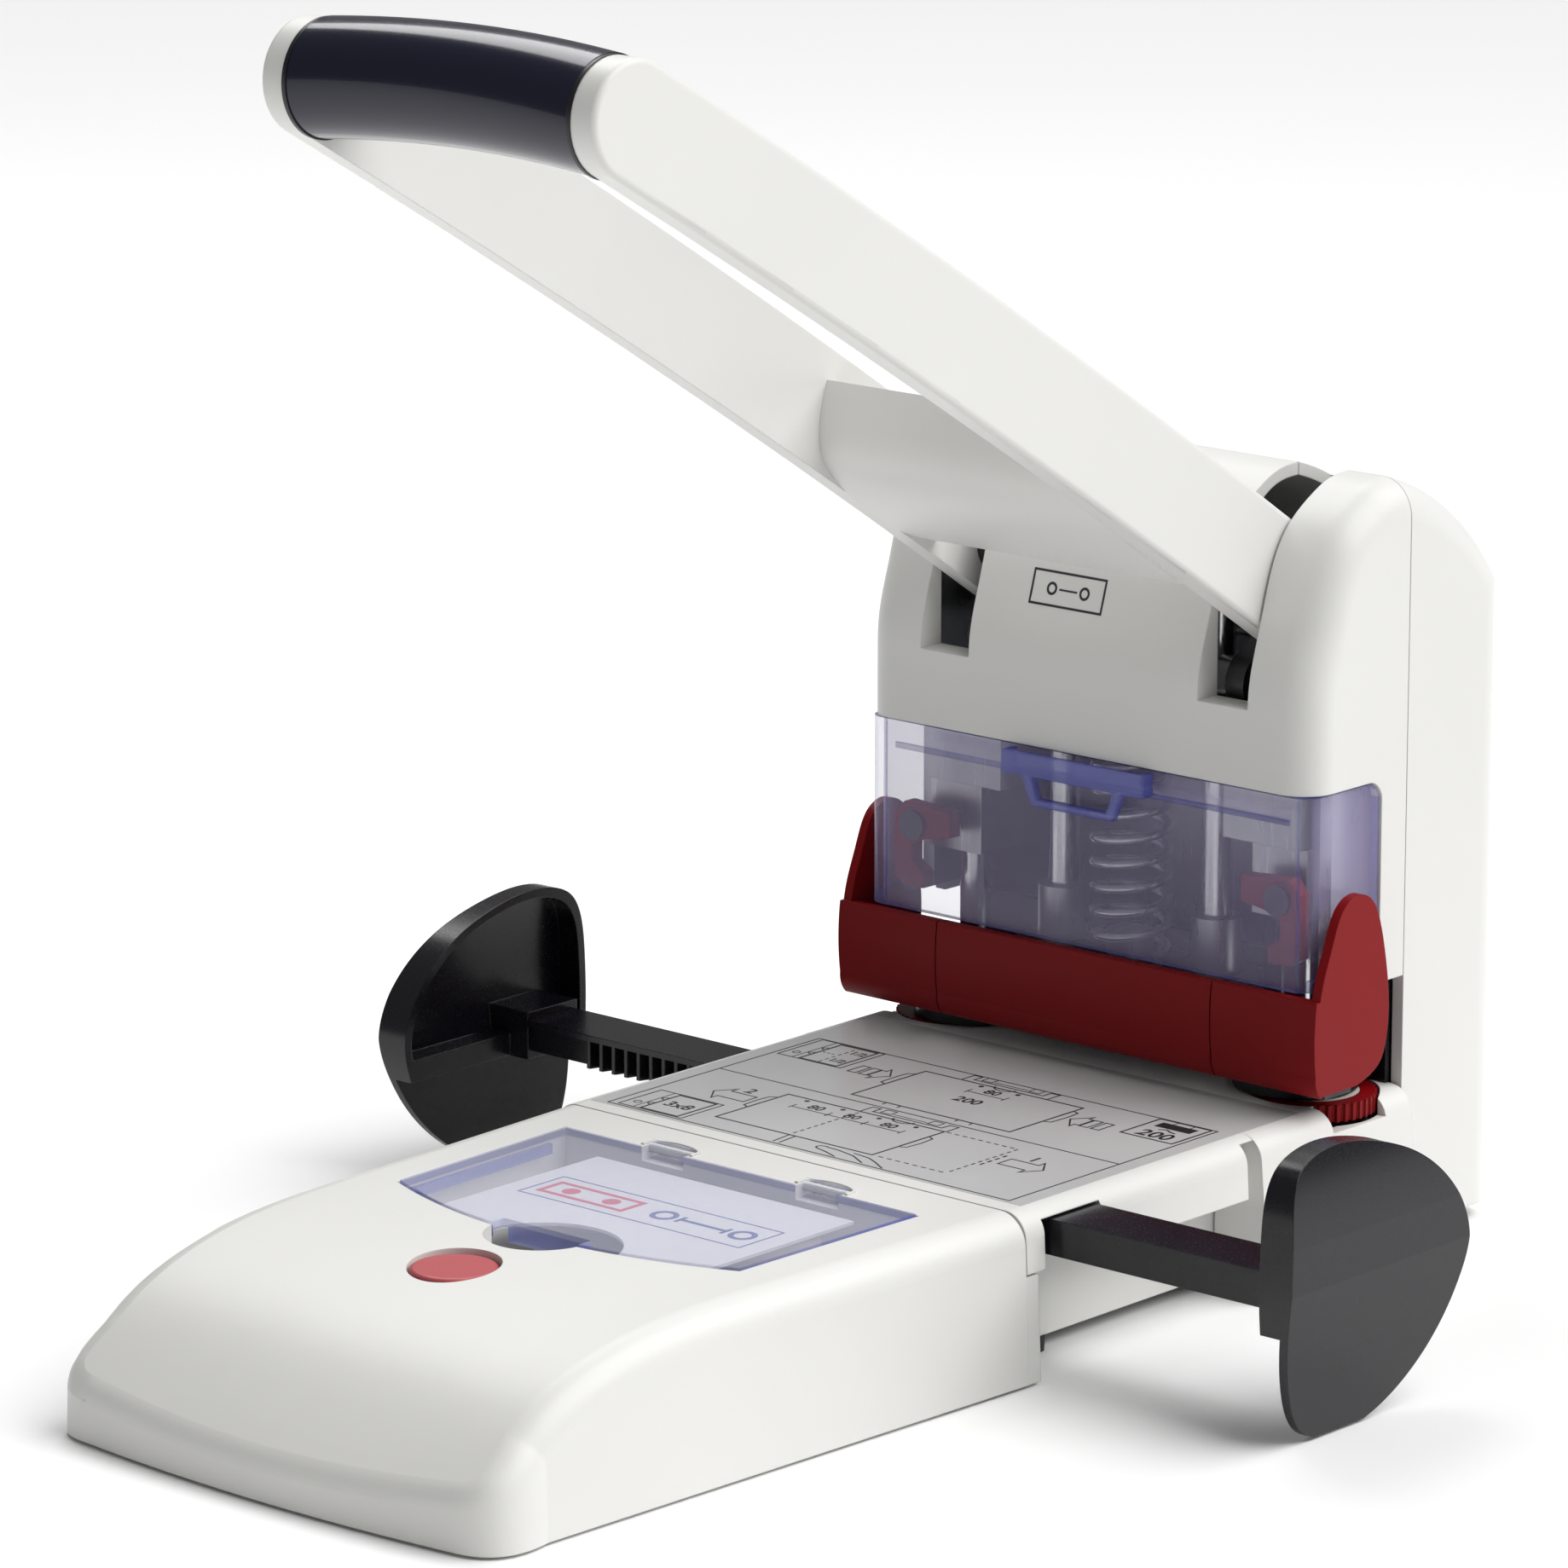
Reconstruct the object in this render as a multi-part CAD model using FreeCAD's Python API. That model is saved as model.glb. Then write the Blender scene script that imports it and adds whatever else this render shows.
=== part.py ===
import FreeCAD, Part
import math
import os

# Heavy-duty two-hole punch. Millimetres; +X right, +Y to the rear, +Z up.
# The origin is the centre of the footprint, on the table.

V = FreeCAD.Vector
X_AXIS, Y_AXIS, Z_AXIS = V(1, 0, 0), V(0, 1, 0), V(0, 0, 1)

# ---- driving dimensions -------------------------------------------------
NOSE_TIP_Y = -142.0          # front of the nose
REAR_Y = 142.0               # back of the tower
WALL = 2.5                   # plastic shells
GAP = 0.4                    # between neighbouring covers
HOLE_SPACING = 80.0          # the two punched holes
MARGIN = 12.0                # hole centre to paper edge
PUNCH_Y = 97.5

DECK_Z = 32.1                # top of the paper deck
DECK_HALF = 57.5             # half width of the deck at its top
DECK_T = 2.0
DECK_FRONT_Y = -3.5
SKIRT_Z = 21.0               # lower edge of the middle side walls
NOTCH_Y = 62.5               # middle of the side notch
NOTCH_W = 4.0
REAR_HALF = 60.0             # half width of the rear skirt at its foot
REAR_FOOT_Z = 3.0

CHASSIS_HALF = 46.5
CHASSIS_T = 2.0
CHASSIS_FRONT_Y = 1.0
CHASSIS_REAR_Y = 136.0
FRAME_BACK_Y = 136.0         # rear face of the frame's back plate
FOOT_R = 7.0
FOOT_H = 3.0

TOWER_HALF = 55.0
TOWER_FRONT_Y = 81.0
TOWER_SPLIT_Y = 110.8
TOWER_TOP_Z = 149.2
TOWER_EDGE_R = 7.0
COVER_LOW_Z = 93.0           # lower edge of the front cover
STRIP_FRONT_Y = 103.2        # side strips of the front cover
STRIP_LOW_Z = 53.6
SLOT_IN, SLOT_OUT = 28.1, 40.1
SLOT_LOW_Z = 108.0
SLOT_REAR_Y = 121.0
LINER_T = 1.2                # lining of the lever slots
LINER_REAR_Y, LINER_TOP_Z = 87.0, 128.0
COVER_SCREWS = ((-38, 34), (38, 34), (-38, 112), (38, 112))

PIVOT_Y, PIVOT_Z = 112.5, 118.0
AXLE_R = 5.0
RUN_CLEAR = 0.06             # running fits, radial
LEVER_LENGTH = 231.5         # pivot to the grip axis
LEVER_RISE = 31.2            # degrees above level at rest
ARM_IN, ARM_OUT = 34.0, 39.5
ARM_HALF = 10.6
ARM_ROOT_R = 10.8
ARM_BOW = 1.9
GRIP_R = 10.7
GRIP_BOW = 2.0
GRIP_CORE_R = 4.0

ROLLER_R = 4.0
ROLLER_AHEAD = 19.5          # roller ahead of the pivot at rest
ROLLER_DROP = 7.7
BEAM_Z0, BEAM_Z1 = 94.0, 106.0
BEAM_Y0, BEAM_Y1 = 90.0, 104.0
BEAM_WING_Y = 99.4           # rear of the beam's ends, clear of the lever plates
COLUMN_X, COLUMN_Y, COLUMN_R = 19.0, 99.2, 3.0
COLUMN_Z0, COLUMN_Z1 = 52.6, 129.0
BUSH_R = 5.0
PUNCH_R = 3.0
PUNCH_BORE_R = 2.4
PUNCH_TIP_Z = 42.3
HOLDER_Z0 = 66.0

CLAMP_HALF = 59.0
CLAMP_FRONT_Y = 78.5
CLAMP_T = 2.6
CLAMP_Z0, CLAMP_Z1 = 36.2, 55.0
CLAMP_SEAM_X = 34.0
EAR_T = 2.0
ARM_FRONT_Y = 84.5           # front of the arms that carry the ears
PLATE_Z0, PLATE_Z1 = 34.9, 36.8
YOKE_FLOOR_Z = 49.0
CLAMP_LIFT = 20.0            # room for the thickest stack
DISC_R = 12.0
DISC_LOW_Z = 32.4

WINDOW_Z0, WINDOW_Z1 = 55.3, 92.6
WINDOW_Y0 = 81.5
WINDOW_T = 1.8
WINDOW_HALF = 54.5
WINDOW_CORNER_R = 4.0

SPRING_R = 7.0               # middle of the wire
WIRE_R = 1.0
SPRING_TURNS = 8.5

WHEEL_X, WHEEL_R = 44.0, 12.4
WHEEL_Z0, WHEEL_TOP = 28.6, 32.0
INSERT_R = 9.0

GEAR_MODULE = 1.05
GEAR_TEETH = 24
PINION_Y = 28.85
RACK_Z0, RACK_Z1 = 22.9, 29.7
RACK_IN_X = -39.5
RACK_WIDTH = 13.2
RACK_CAP_T = 1.3             # cap over the rack teeth
PADDLE_X = 112.5
PADDLE_OUT = 119.8
PADDLE_SKIN = 1.8
SHELF_Z0, SHELF_Z1 = 21.5, 26.0   # rib across the paddle's inner face
PRESSURE = math.radians(20)
BACKLASH = 0.22

TRAY_HALF = 41.0
TRAY_REAR_Y = 128.0
BUTTON_Y, BUTTON_R = -91.5, 8.0
LID_REAR_Y, LID_HALF = -16.8, 43.0
LID_SIDE_Y, LID_FRONT_Y = -62.6, -71.3
LID_T = 1.6
LABEL_HALF = 53.0
LABEL_FRONT_Y, LABEL_REAR_Y = 0.6, 82.0
CARD_HALF = 31.5
CARD_REAR_Y = -20.5
CARD_T = 0.6
SPARES_H = 7.2                # stack of spare pads that the card lies on


# ---- helpers ------------------------------------------------------------
def box(x0, x1, y0, y1, z0, z1):
    return Part.makeBox(x1 - x0, y1 - y0, z1 - z0, V(x0, y0, z0))


def rod(radius, x, y, z0, z1):
    """Upright cylinder."""
    return Part.makeCylinder(radius, z1 - z0, V(x, y, z0), Z_AXIS)


def cross_rod(radius, x0, x1, y, z):
    """Cylinder lying along X."""
    return Part.makeCylinder(radius, x1 - x0, V(x0, y, z), X_AXIS)


def long_rod(radius, x, y0, y1, z):
    """Cylinder lying along Y."""
    return Part.makeCylinder(radius, y1 - y0, V(x, y0, z), Y_AXIS)


def fuse(*shapes):
    whole = shapes[0]
    for shape in shapes[1:]:
        whole = whole.fuse(shape)
    return whole.removeSplitter()


def cut(shape, *tools):
    for tool in tools:
        shape = shape.cut(tool)
    return shape


def both_sides(shape):
    """The shape and its mirror image across the middle plane."""
    return [shape, shape.mirror(V(0, 0, 0), X_AXIS)]


def mirrored(shape):
    return shape.mirror(V(0, 0, 0), X_AXIS)


def polygon_face(points):
    return Part.Face(Part.makePolygon(list(points) + [points[0]]))


def side_prism(points, x0, x1):
    """(y, z) outline swept from x0 to x1."""
    face = polygon_face([V(x0, y, z) for y, z in points])
    return face.extrude(V(x1 - x0, 0, 0))


def plan_prism(points, z0, z1):
    """(x, y) outline swept from z0 to z1."""
    face = polygon_face([V(x, y, z0) for x, y in points])
    return face.extrude(V(0, 0, z1 - z0))


def front_prism(points, y0, y1):
    """(x, z) outline swept from y0 to y1."""
    face = polygon_face([V(x, y0, z) for x, z in points])
    return face.extrude(V(0, y1 - y0, 0))


def line(a, b):
    return Part.LineSegment(a, b).toShape()


def arc(a, b, c):
    return Part.Arc(a, b, c).toShape()


def curve(points):
    """Smooth curve through the points."""
    spline = Part.BSplineCurve()
    spline.interpolate(points)
    return spline.toShape()


def filled(edges):
    return Part.Face(Part.Wire(Part.__sortEdges__(edges)))


def edges_where(shape, test):
    return [edge for edge in shape.Edges if test(edge)]


def all_points(edge, test):
    """True if the test holds all along the edge."""
    low, high = edge.ParameterRange
    return all(test(edge.valueAt(low + (high - low) * k / 4)) for k in range(5))


def solid_of(shape):
    """The shape's one solid."""
    if len(shape.Solids) != 1:
        raise ValueError("expected one solid, got %d" % len(shape.Solids))
    return shape.Solids[0]


# ---- nose ---------------------------------------------------------------
def nose_plan(half, front_half, y_rear, y_corner, y_tip, radius, z):
    """Plan outline of the nose: tapered sides, round corners, bowed front."""
    start = V(half, y_rear, z)
    corner = V(front_half, y_corner, z)
    side = (corner - start).normalize()
    a = corner - side * radius
    inset = V(front_half - radius, y_corner - radius * 0.62, z)
    knee = V(front_half - radius * 0.22, y_corner - radius * 0.36, z)
    def flip(p):
        return V(-p.x, p.y, p.z)

    edges = [
        line(flip(start), start),
        line(start, a),
        curve([a, knee, inset]),
        arc(inset, V(0, y_tip, z), flip(inset)),
        curve([flip(inset), flip(knee), flip(a)]),
        line(flip(a), flip(start)),
    ]
    return Part.Wire(edges)


def nose_body(inset, y_rear, z_low):
    """Outside of the nose, or its hollow when inset is the wall thickness."""
    low = nose_plan(59.6 - inset, 53.5 - inset, y_rear, -134.0 + inset,
                    NOSE_TIP_Y + inset, 9.0 - inset, z_low)
    high = nose_plan(58.0 - inset, 52.5 - inset, y_rear, -133.5 + inset,
                     NOSE_TIP_Y + 0.8 + inset, 9.0 - inset, DECK_Z + 4)
    block = Part.makeLoft([low, high], True, True)
    top = [
        V(0, 10, DECK_Z - inset),
        V(0, -68, DECK_Z - inset),
        V(0, -107 + inset * 0.1, 29.1 - inset),
        V(0, -123.2 + inset * 0.4, 23.2 - inset * 0.8),
        V(0, -134.5 + inset * 0.9, 15.0 - inset * 0.6),
        V(0, -150 + inset, -4.0 - inset * 0.4),
    ]
    slope = Part.BSplineCurve()
    slope.interpolate(Points=top[1:], InitialTangent=V(0, -1, 0), FinalTangent=V(0, -0.45, -1))
    edges = [
        line(top[0], top[1]),
        slope.toShape(),
        line(top[-1], V(0, 10, -60)),
        line(V(0, 10, -60), top[0]),
    ]
    profile = Part.Face(Part.Wire(edges))
    profile.translate(V(-80, 0, 0))
    return solid_of(block.common(profile.extrude(V(160, 0, 0))))


def nose_solid(inset, y_rear, z_low, shoulder_r):
    """The rounded nose, cut off square at its rear."""
    body = nose_body(inset, y_rear + 12, z_low)

    def is_shoulder(edge):
        low, high = edge.ParameterRange
        mid = edge.valueAt((low + high) / 2)
        along = edge.tangentAt((low + high) / 2)
        return mid.z > 9 and abs(along.z) < 0.86 and abs(mid.x) > 45

    if shoulder_r:
        body = body.makeFillet(shoulder_r, edges_where(body, is_shoulder))
    return solid_of(body.common(box(-80, 80, -160, y_rear, z_low, 60)))


def lid_plan(grow, z):
    """Plan outline of the clear lid: straight rear, slanted sides, bowed front."""
    half = LID_HALF + grow
    rear = LID_REAR_Y + grow
    side = LID_SIDE_Y - grow
    tip = LID_FRONT_Y - grow
    left, right = V(-half, rear, z), V(half, rear, z)
    low_left, low_right = V(-half + 1.5, side, z), V(half - 1.5, side, z)
    return Part.Wire([
        line(left, right),
        line(right, low_right),
        arc(low_right, V(0, tip, z), low_left),
        line(low_left, left),
    ])


def lid_block(grow, z0, z1):
    return Part.Face(lid_plan(grow, z0)).extrude(V(0, 0, z1 - z0))


FINGER_Y = -69.0
TAB_Y = -67.6                 # front face of the lid where it crosses the finger recess
FINGER_R = 10.6
LID_TOP_Z = DECK_Z + 0.4
TAB_HALF = 9.6
TAB_DEPTH = 4.4
LID_HINGE_X = 19.0
LID_HINGE_Y = LID_REAR_Y + 3.2
LID_HINGE_Z = LID_TOP_Z - 1.0
BIN_DEPTH = 9.0
FLOOR_Z = 2.6


def nose_parts():
    rear = DECK_FRONT_Y - GAP
    outer = nose_solid(0, rear, 0.6, 6.0)
    skirt = nose_solid(0, CHASSIS_FRONT_Y - 1.6, 0.6, 6.0)
    skirt = skirt.common(box(-80, 80, rear - 1, 10, 0.6, SKIRT_Z - GAP))
    hollow = nose_solid(WALL, 4, -10, 0)
    hollow = hollow.common(box(-80, 80, -160, 10, FLOOR_Z, 60))
    shell = cut(fuse(outer, skirt), hollow)
    well = lid_block(0.35, LID_TOP_Z - LID_T - BIN_DEPTH, DECK_Z + 5)
    rim = lid_block(0.35 + 2.2, LID_TOP_Z - LID_T - BIN_DEPTH - 1.6, DECK_Z - WALL + 0.4)
    finger = rod(FINGER_R, 0, FINGER_Y, DECK_Z - 7.5, DECK_Z + 4)
    finger_cup = rod(FINGER_R + 2, 0, FINGER_Y, DECK_Z - 9.5, DECK_Z - WALL - 0.4)
    button_post = rod(BUTTON_R + 2.4, 0, BUTTON_Y, DECK_Z - 12, DECK_Z - 2)
    shell = fuse(shell, rim, finger_cup, button_post)
    shell = cut(shell, well, finger, rod(BUTTON_R + 0.5, 0, BUTTON_Y, DECK_Z - 10, 60))
    shell = cut(shell, rod(3.2, 0, BUTTON_Y, DECK_Z - 20, 60))
    hinge_slots = [box(x - 5.2, x + 5.2, LID_REAR_Y - 1, LID_HINGE_Y + 2.1,
                       LID_HINGE_Z - 2.1, DECK_Z + 1) for x in (-LID_HINGE_X, LID_HINGE_X)]
    shell = cut(shell, *hinge_slots)
    hinge_pins = [cross_rod(0.8, x - 5.6, x + 5.6, LID_HINGE_Y, LID_HINGE_Z)
                  for x in (-LID_HINGE_X, LID_HINGE_X)]
    return {"nose_shell": solid_of(fuse(shell, *hinge_pins))}


def lid_parts():
    lid = lid_block(0, LID_TOP_Z - LID_T, LID_TOP_Z)
    lip = cut(lid_block(-1.0, LID_TOP_Z - LID_T - 2.0, LID_TOP_Z - LID_T),
              lid_block(-2.0, 0, 60), rod(FINGER_R + 2, 0, FINGER_Y, 0, 60),
              box(-60, 60, LID_REAR_Y - 6, 60, 0, 60))
    tab = box(-TAB_HALF, TAB_HALF, TAB_Y, TAB_Y + 1.5,
              LID_TOP_Z - TAB_DEPTH, LID_TOP_Z - LID_T)
    lid = cut(lid, box(-FINGER_R, FINGER_R, -90, TAB_Y, 0, 60))
    lid = fuse(lid, lip, tab)
    for x in (-LID_HINGE_X, LID_HINGE_X):
        knuckle = fuse(
            cross_rod(1.5, x - 4.9, x + 4.9, LID_HINGE_Y, LID_HINGE_Z),
            box(x - 4.9, x + 4.9, LID_REAR_Y - 1, LID_HINGE_Y, LID_TOP_Z - LID_T, LID_TOP_Z))
        bore = cross_rod(0.8 + RUN_CLEAR, x - 6, x + 6, LID_HINGE_Y, LID_HINGE_Z)
        lid = cut(fuse(lid, knuckle), bore)
    return {"storage_lid": solid_of(lid)}


def storage_parts():
    bin_low = LID_TOP_Z - LID_T - BIN_DEPTH
    card_z = bin_low + SPARES_H
    card = cut(lid_block(-3.0, card_z, card_z + CARD_T),
               rod(FINGER_R + 4, 0, FINGER_Y, 0, 60))
    card = card.common(box(-CARD_HALF, CARD_HALF, LID_FRONT_Y, CARD_REAR_Y, 0, 60))
    discs = [rod(INSERT_R, x, -31, bin_low, card_z) for x in (-21, 0, 21)]
    return {
        "storage_card": solid_of(card),
        "spare_discs": Part.makeCompound(discs),
    }


def button_parts():
    cap = Part.makeCylinder(BUTTON_R, 5.0, V(0, BUTTON_Y, DECK_Z - 6.0), Z_AXIS)
    cap = cap.makeFillet(0.8, edges_where(cap, lambda e: all_points(e, lambda p: p.z > DECK_Z - 1.1)))
    stem = rod(3.2 - RUN_CLEAR, 0, BUTTON_Y, DECK_Z - 16, DECK_Z - 6)
    spring = helix_spring(4.6, 0.5, DECK_Z - 9.9, DECK_Z - 6.1, 3.5, 0, BUTTON_Y)
    return {"release_button": solid_of(fuse(cap, stem)), "button_spring": spring}


def tray_parts():
    """Chip drawer behind the nose, running under the chassis."""
    z0, z1 = FLOOR_Z, 15.5
    y0 = DECK_FRONT_Y - 6
    body = box(-TRAY_HALF, TRAY_HALF, y0, TRAY_REAR_Y, z0, z1)
    room = box(-TRAY_HALF + 1.6, TRAY_HALF - 1.6, y0 + 1.6, TRAY_REAR_Y - 1.6, z0 + 1.6, z1 + 1)
    tray = cut(body, room)
    ledges = [box(s * TRAY_HALF - 0.1 if s > 0 else -TRAY_HALF - 2.4,
                  TRAY_HALF + 2.4 if s > 0 else -TRAY_HALF + 0.1,
                  CHASSIS_FRONT_Y + 1, TRAY_REAR_Y, z1 - 1.6, z1) for s in (1, -1)]
    hooks = [box(x - 6, x + 6, y0 - 8, y0 + 0.1, z0, z0 + 6) for x in (-25, 25)]
    return {"chip_tray": solid_of(fuse(tray, *ledges, *hooks))}


# ---- base ---------------------------------------------------------------
def helix_spring(radius, wire_r, z0, z1, turns, x, y):
    """Coil spring standing along Z between z0 and z1."""
    height = z1 - z0 - 2 * wire_r
    helix = Part.makeHelix(height / turns, height, radius)
    helix.translate(V(x, y, z0 + wire_r))
    start = helix.Vertexes[0].Point
    ring = Part.Wire([Part.makeCircle(wire_r, start, V(0, 1, height / turns / 6.283 / radius))])
    return solid_of(Part.Wire(helix.Edges).makePipeShell([ring], True, True))


def rounded_section(half, foot_half, foot_z, radius, y):
    """Cross-section with a flat top, rounded top edges and leaning sides."""
    lean = math.atan2(foot_half - half, DECK_Z - foot_z)
    reach = radius * math.tan((math.pi / 2 - lean) / 2)
    slant = V(math.sin(lean), 0, -math.cos(lean))
    apex = V(half, y, DECK_Z)
    on_top = apex - V(reach, 0, 0)
    on_side = apex + slant * reach
    centre = on_top - V(0, 0, radius)
    middle = centre + (apex - centre).normalize() * radius

    def flip(p):
        return V(-p.x, p.y, p.z)

    return Part.Face(Part.Wire([
        line(flip(on_top), on_top),
        arc(on_top, middle, on_side),
        line(on_side, V(foot_half, y, foot_z)),
        line(V(foot_half, y, foot_z), V(-foot_half, y, foot_z)),
        line(V(-foot_half, y, foot_z), flip(on_side)),
        arc(flip(on_side), flip(middle), flip(on_top)),
    ]))


def deck_plate():
    """Middle cover: paper deck, side walls and rear skirt in one moulding."""
    front, rear = DECK_FRONT_Y, TOWER_SPLIT_Y - GAP
    seam = NOTCH_Y + NOTCH_W / 2
    slab = rounded_section(DECK_HALF, DECK_HALF + 0.6, SKIRT_Z, 5.0, front)
    slab = slab.extrude(V(0, seam - front, 0))
    flare = rounded_section(DECK_HALF, REAR_HALF, REAR_FOOT_Z, 5.0, seam)
    block = fuse(slab, flare.extrude(V(0, rear - seam, 0)))
    inner = DECK_HALF - WALL
    room = fuse(
        box(-inner, inner, front - 1, NOTCH_Y - NOTCH_W / 2 - WALL, 0, DECK_Z - DECK_T),
        box(-inner, inner, seam + WALL, rear + 1, 0, DECK_Z - DECK_T),
        box(-CHASSIS_HALF - GAP, CHASSIS_HALF + GAP, front - 1, rear + 1, 0, DECK_Z - DECK_T))
    block = cut(block, room)
    notch = box(DECK_HALF - 4, 80, NOTCH_Y - NOTCH_W / 2, seam, 0, DECK_Z - 1)
    return cut(block, *both_sides(notch))


def middle_parts():
    deck = deck_plate()
    pitch_r = GEAR_MODULE * GEAR_TEETH / 2
    tip = pitch_r - GEAR_MODULE
    y_far = PINION_Y - tip + 0.8
    y_near = y_far - RACK_WIDTH - GEAR_MODULE - 2.2
    slot = box(40, 80, y_near, y_far, 0, RACK_Z1 + 0.35)
    slot = slot.common(box(DECK_HALF - 4, 80, -10, 60, 0, 60))
    deck = cut(deck, slot, turned_half(slot))
    for wheel_x in (-WHEEL_X, WHEEL_X):
        deck = cut(deck, rod(WHEEL_R + 0.4, wheel_x, PUNCH_Y, SKIRT_Z + 2, 60))
    rim_room = box(52, 80, PUNCH_Y - 11, PUNCH_Y + 5, WHEEL_Z0 - 0.5, 60)
    deck = cut(deck, *both_sides(rim_room))
    label = box(-LABEL_HALF, LABEL_HALF, LABEL_FRONT_Y, LABEL_REAR_Y, DECK_Z - 0.25,
                DECK_Z + 0.05)
    deck = cut(deck, label)
    return {"deck_cover": solid_of(deck), "deck_label": label}


def turned_half(shape):
    """The shape turned half a turn about the pinion's axis."""
    copy = shape.copy()
    copy.rotate(V(0, PINION_Y, 0), Z_AXIS, 180)
    return copy


def chassis_parts():
    top = SKIRT_Z
    outer = box(-CHASSIS_HALF, CHASSIS_HALF, CHASSIS_FRONT_Y, CHASSIS_REAR_Y, FOOT_H, top)
    room = box(-CHASSIS_HALF + CHASSIS_T, CHASSIS_HALF - CHASSIS_T, CHASSIS_FRONT_Y - 1,
               CHASSIS_REAR_Y - CHASSIS_T, 0, top - CHASSIS_T)
    chute = box(-30, 30, MARGIN + PUNCH_Y + 5, TRAY_REAR_Y - 4, top - 3, top + 1)
    chassis = cut(outer, room, chute)
    flanges = [box(-CHASSIS_HALF - 5.5, -CHASSIS_HALF + 0.1, y, y + 16, FOOT_H, FOOT_H + CHASSIS_T)
               for y in (70, 116)]
    flanges += [mirrored(flange) for flange in flanges]
    chassis = solid_of(fuse(chassis, *flanges))
    rails = []
    for s in (-1, 1):
        x0, x1 = sorted((s * (TRAY_HALF + 0.6), s * (CHASSIS_HALF - CHASSIS_T)))
        rails.append(box(x0, x1, CHASSIS_FRONT_Y + 2, TRAY_REAR_Y + 1, 10.6, 13.4))
    feet = []
    for x, y in ((-44, 14), (44, 14), (-44, 122), (44, 122)):
        foot = Part.makeCone(FOOT_R - 4.2, FOOT_R - 4.0, FOOT_H, V(x, y, 0))
        feet.append(foot)
    return {
        "chassis": chassis,
        "drawer_rails": Part.makeCompound(rails),
        "rubber_feet": Part.makeCompound(feet),
    }


# ---- paper guides -------------------------------------------------------
def involute_gear(z0, z1):
    """Spur gear, first tooth pointing along -Y, flanks drawn as involutes."""
    m, n = GEAR_MODULE, GEAR_TEETH
    r = m * n / 2
    base = r * math.cos(PRESSURE)
    tip, root = r + 0.9 * m, r - 1.2 * m
    half = math.pi / (2 * n) - BACKLASH / (4 * r)
    inv = math.tan(PRESSURE) - PRESSURE

    def flank(radius):
        """Half the tooth's angle at this radius."""
        a = math.acos(min(1.0, base / radius))
        return half + inv - (math.tan(a) - a)

    radii = [base * 1.001 + (tip - base * 1.001) * k / 5 for k in range(6)]
    points = []
    for k in range(n):
        middle = -math.pi / 2 + 2 * math.pi * k / n
        angles = [middle - flank(q) for q in radii]
        edge = [(root, angles[0])] + list(zip(radii, angles))
        angles = [middle + flank(q) for q in reversed(radii)]
        edge += list(zip(reversed(radii), angles)) + [(root, angles[-1])]
        points += [(q * math.cos(a), PINION_Y + q * math.sin(a)) for q, a in edge]
    return plan_prism(points, z0, z1)


def rack_bar():
    """Right rack: teeth on the rear face, meshing with the pinion's front."""
    m = GEAR_MODULE
    pitch = math.pi * m
    pitch_y = PINION_Y - m * GEAR_TEETH / 2
    root, tip = pitch_y - 1.2 * m, pitch_y + 0.9 * m
    slope = math.tan(PRESSURE)
    half = pitch / 4 - BACKLASH / 4
    points = [(PADDLE_X - 4.0, root - RACK_WIDTH + 2.2 * m), (RACK_IN_X, root - RACK_WIDTH + 2.2 * m),
              (RACK_IN_X, root)]
    count = int((PADDLE_X - 22 - RACK_IN_X) / pitch)
    first = math.ceil((RACK_IN_X + pitch) / pitch - 0.5) + 0.5
    for k in range(count):
        x = (first + k) * pitch
        points += [(x - half - (pitch_y - root) * slope, root),
                   (x - half + (tip - pitch_y) * slope, tip),
                   (x + half - (tip - pitch_y) * slope, tip),
                   (x + half + (pitch_y - root) * slope, root)]
    points.append((PADDLE_X - 4.0, root))
    bar = plan_prism(points, RACK_Z0, RACK_Z1)
    cap = box(RACK_IN_X, PADDLE_X - 5.4, root - 0.1, tip, RACK_Z1 - RACK_CAP_T, RACK_Z1)
    return fuse(bar, cap), (root - RACK_WIDTH + 2.2 * m, root)


def paddle_prism(share):
    """The paddle's outline as a block, drawn in towards its middle by a share."""
    outline = [(6.5, 0.6), (1.3, 3.7), (-2.3, 9.7), (-4.9, 20.0), (-5.3, 37.8), (-1.3, 51.0),
               (5.5, 53.6), (12.0, 53.8), (19.5, 52.6), (32.1, 48.0), (40.8, 40.9),
               (46.1, 29.5), (44.6, 22.1), (39.7, 13.3), (31.1, 5.3)]
    y0, z0 = 20.0, 27.0
    loop = Part.BSplineCurve()
    loop.interpolate(Points=[V(PADDLE_X - 1, y0 + (y - y0) * share, z0 + (z - z0) * share)
                             for y, z in outline], PeriodicFlag=True)
    return Part.Face(Part.Wire([loop.toShape()])).extrude(V(PADDLE_OUT - PADDLE_X + 1, 0, 0))


def paddle_bulge(inset):
    """Everything inside the paddle's outer face, which is creased level with the rack."""
    out = PADDLE_OUT - inset
    return filled([
        line(V(PADDLE_X - inset, -30, -1), V(PADDLE_X - inset, -30, 56)),
        line(V(PADDLE_X - inset, -30, 56), V(out - 3.4, -30, 56)),
        arc(V(out - 3.4, -30, 56), V(out - 0.6, -30, 44), V(out, -30, RACK_Z1)),
        line(V(out, -30, RACK_Z1), V(out - 4.2, -30, -1)),
        line(V(out - 4.2, -30, -1), V(PADDLE_X - inset, -30, -1)),
    ]).extrude(V(0, 120, 0))


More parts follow.
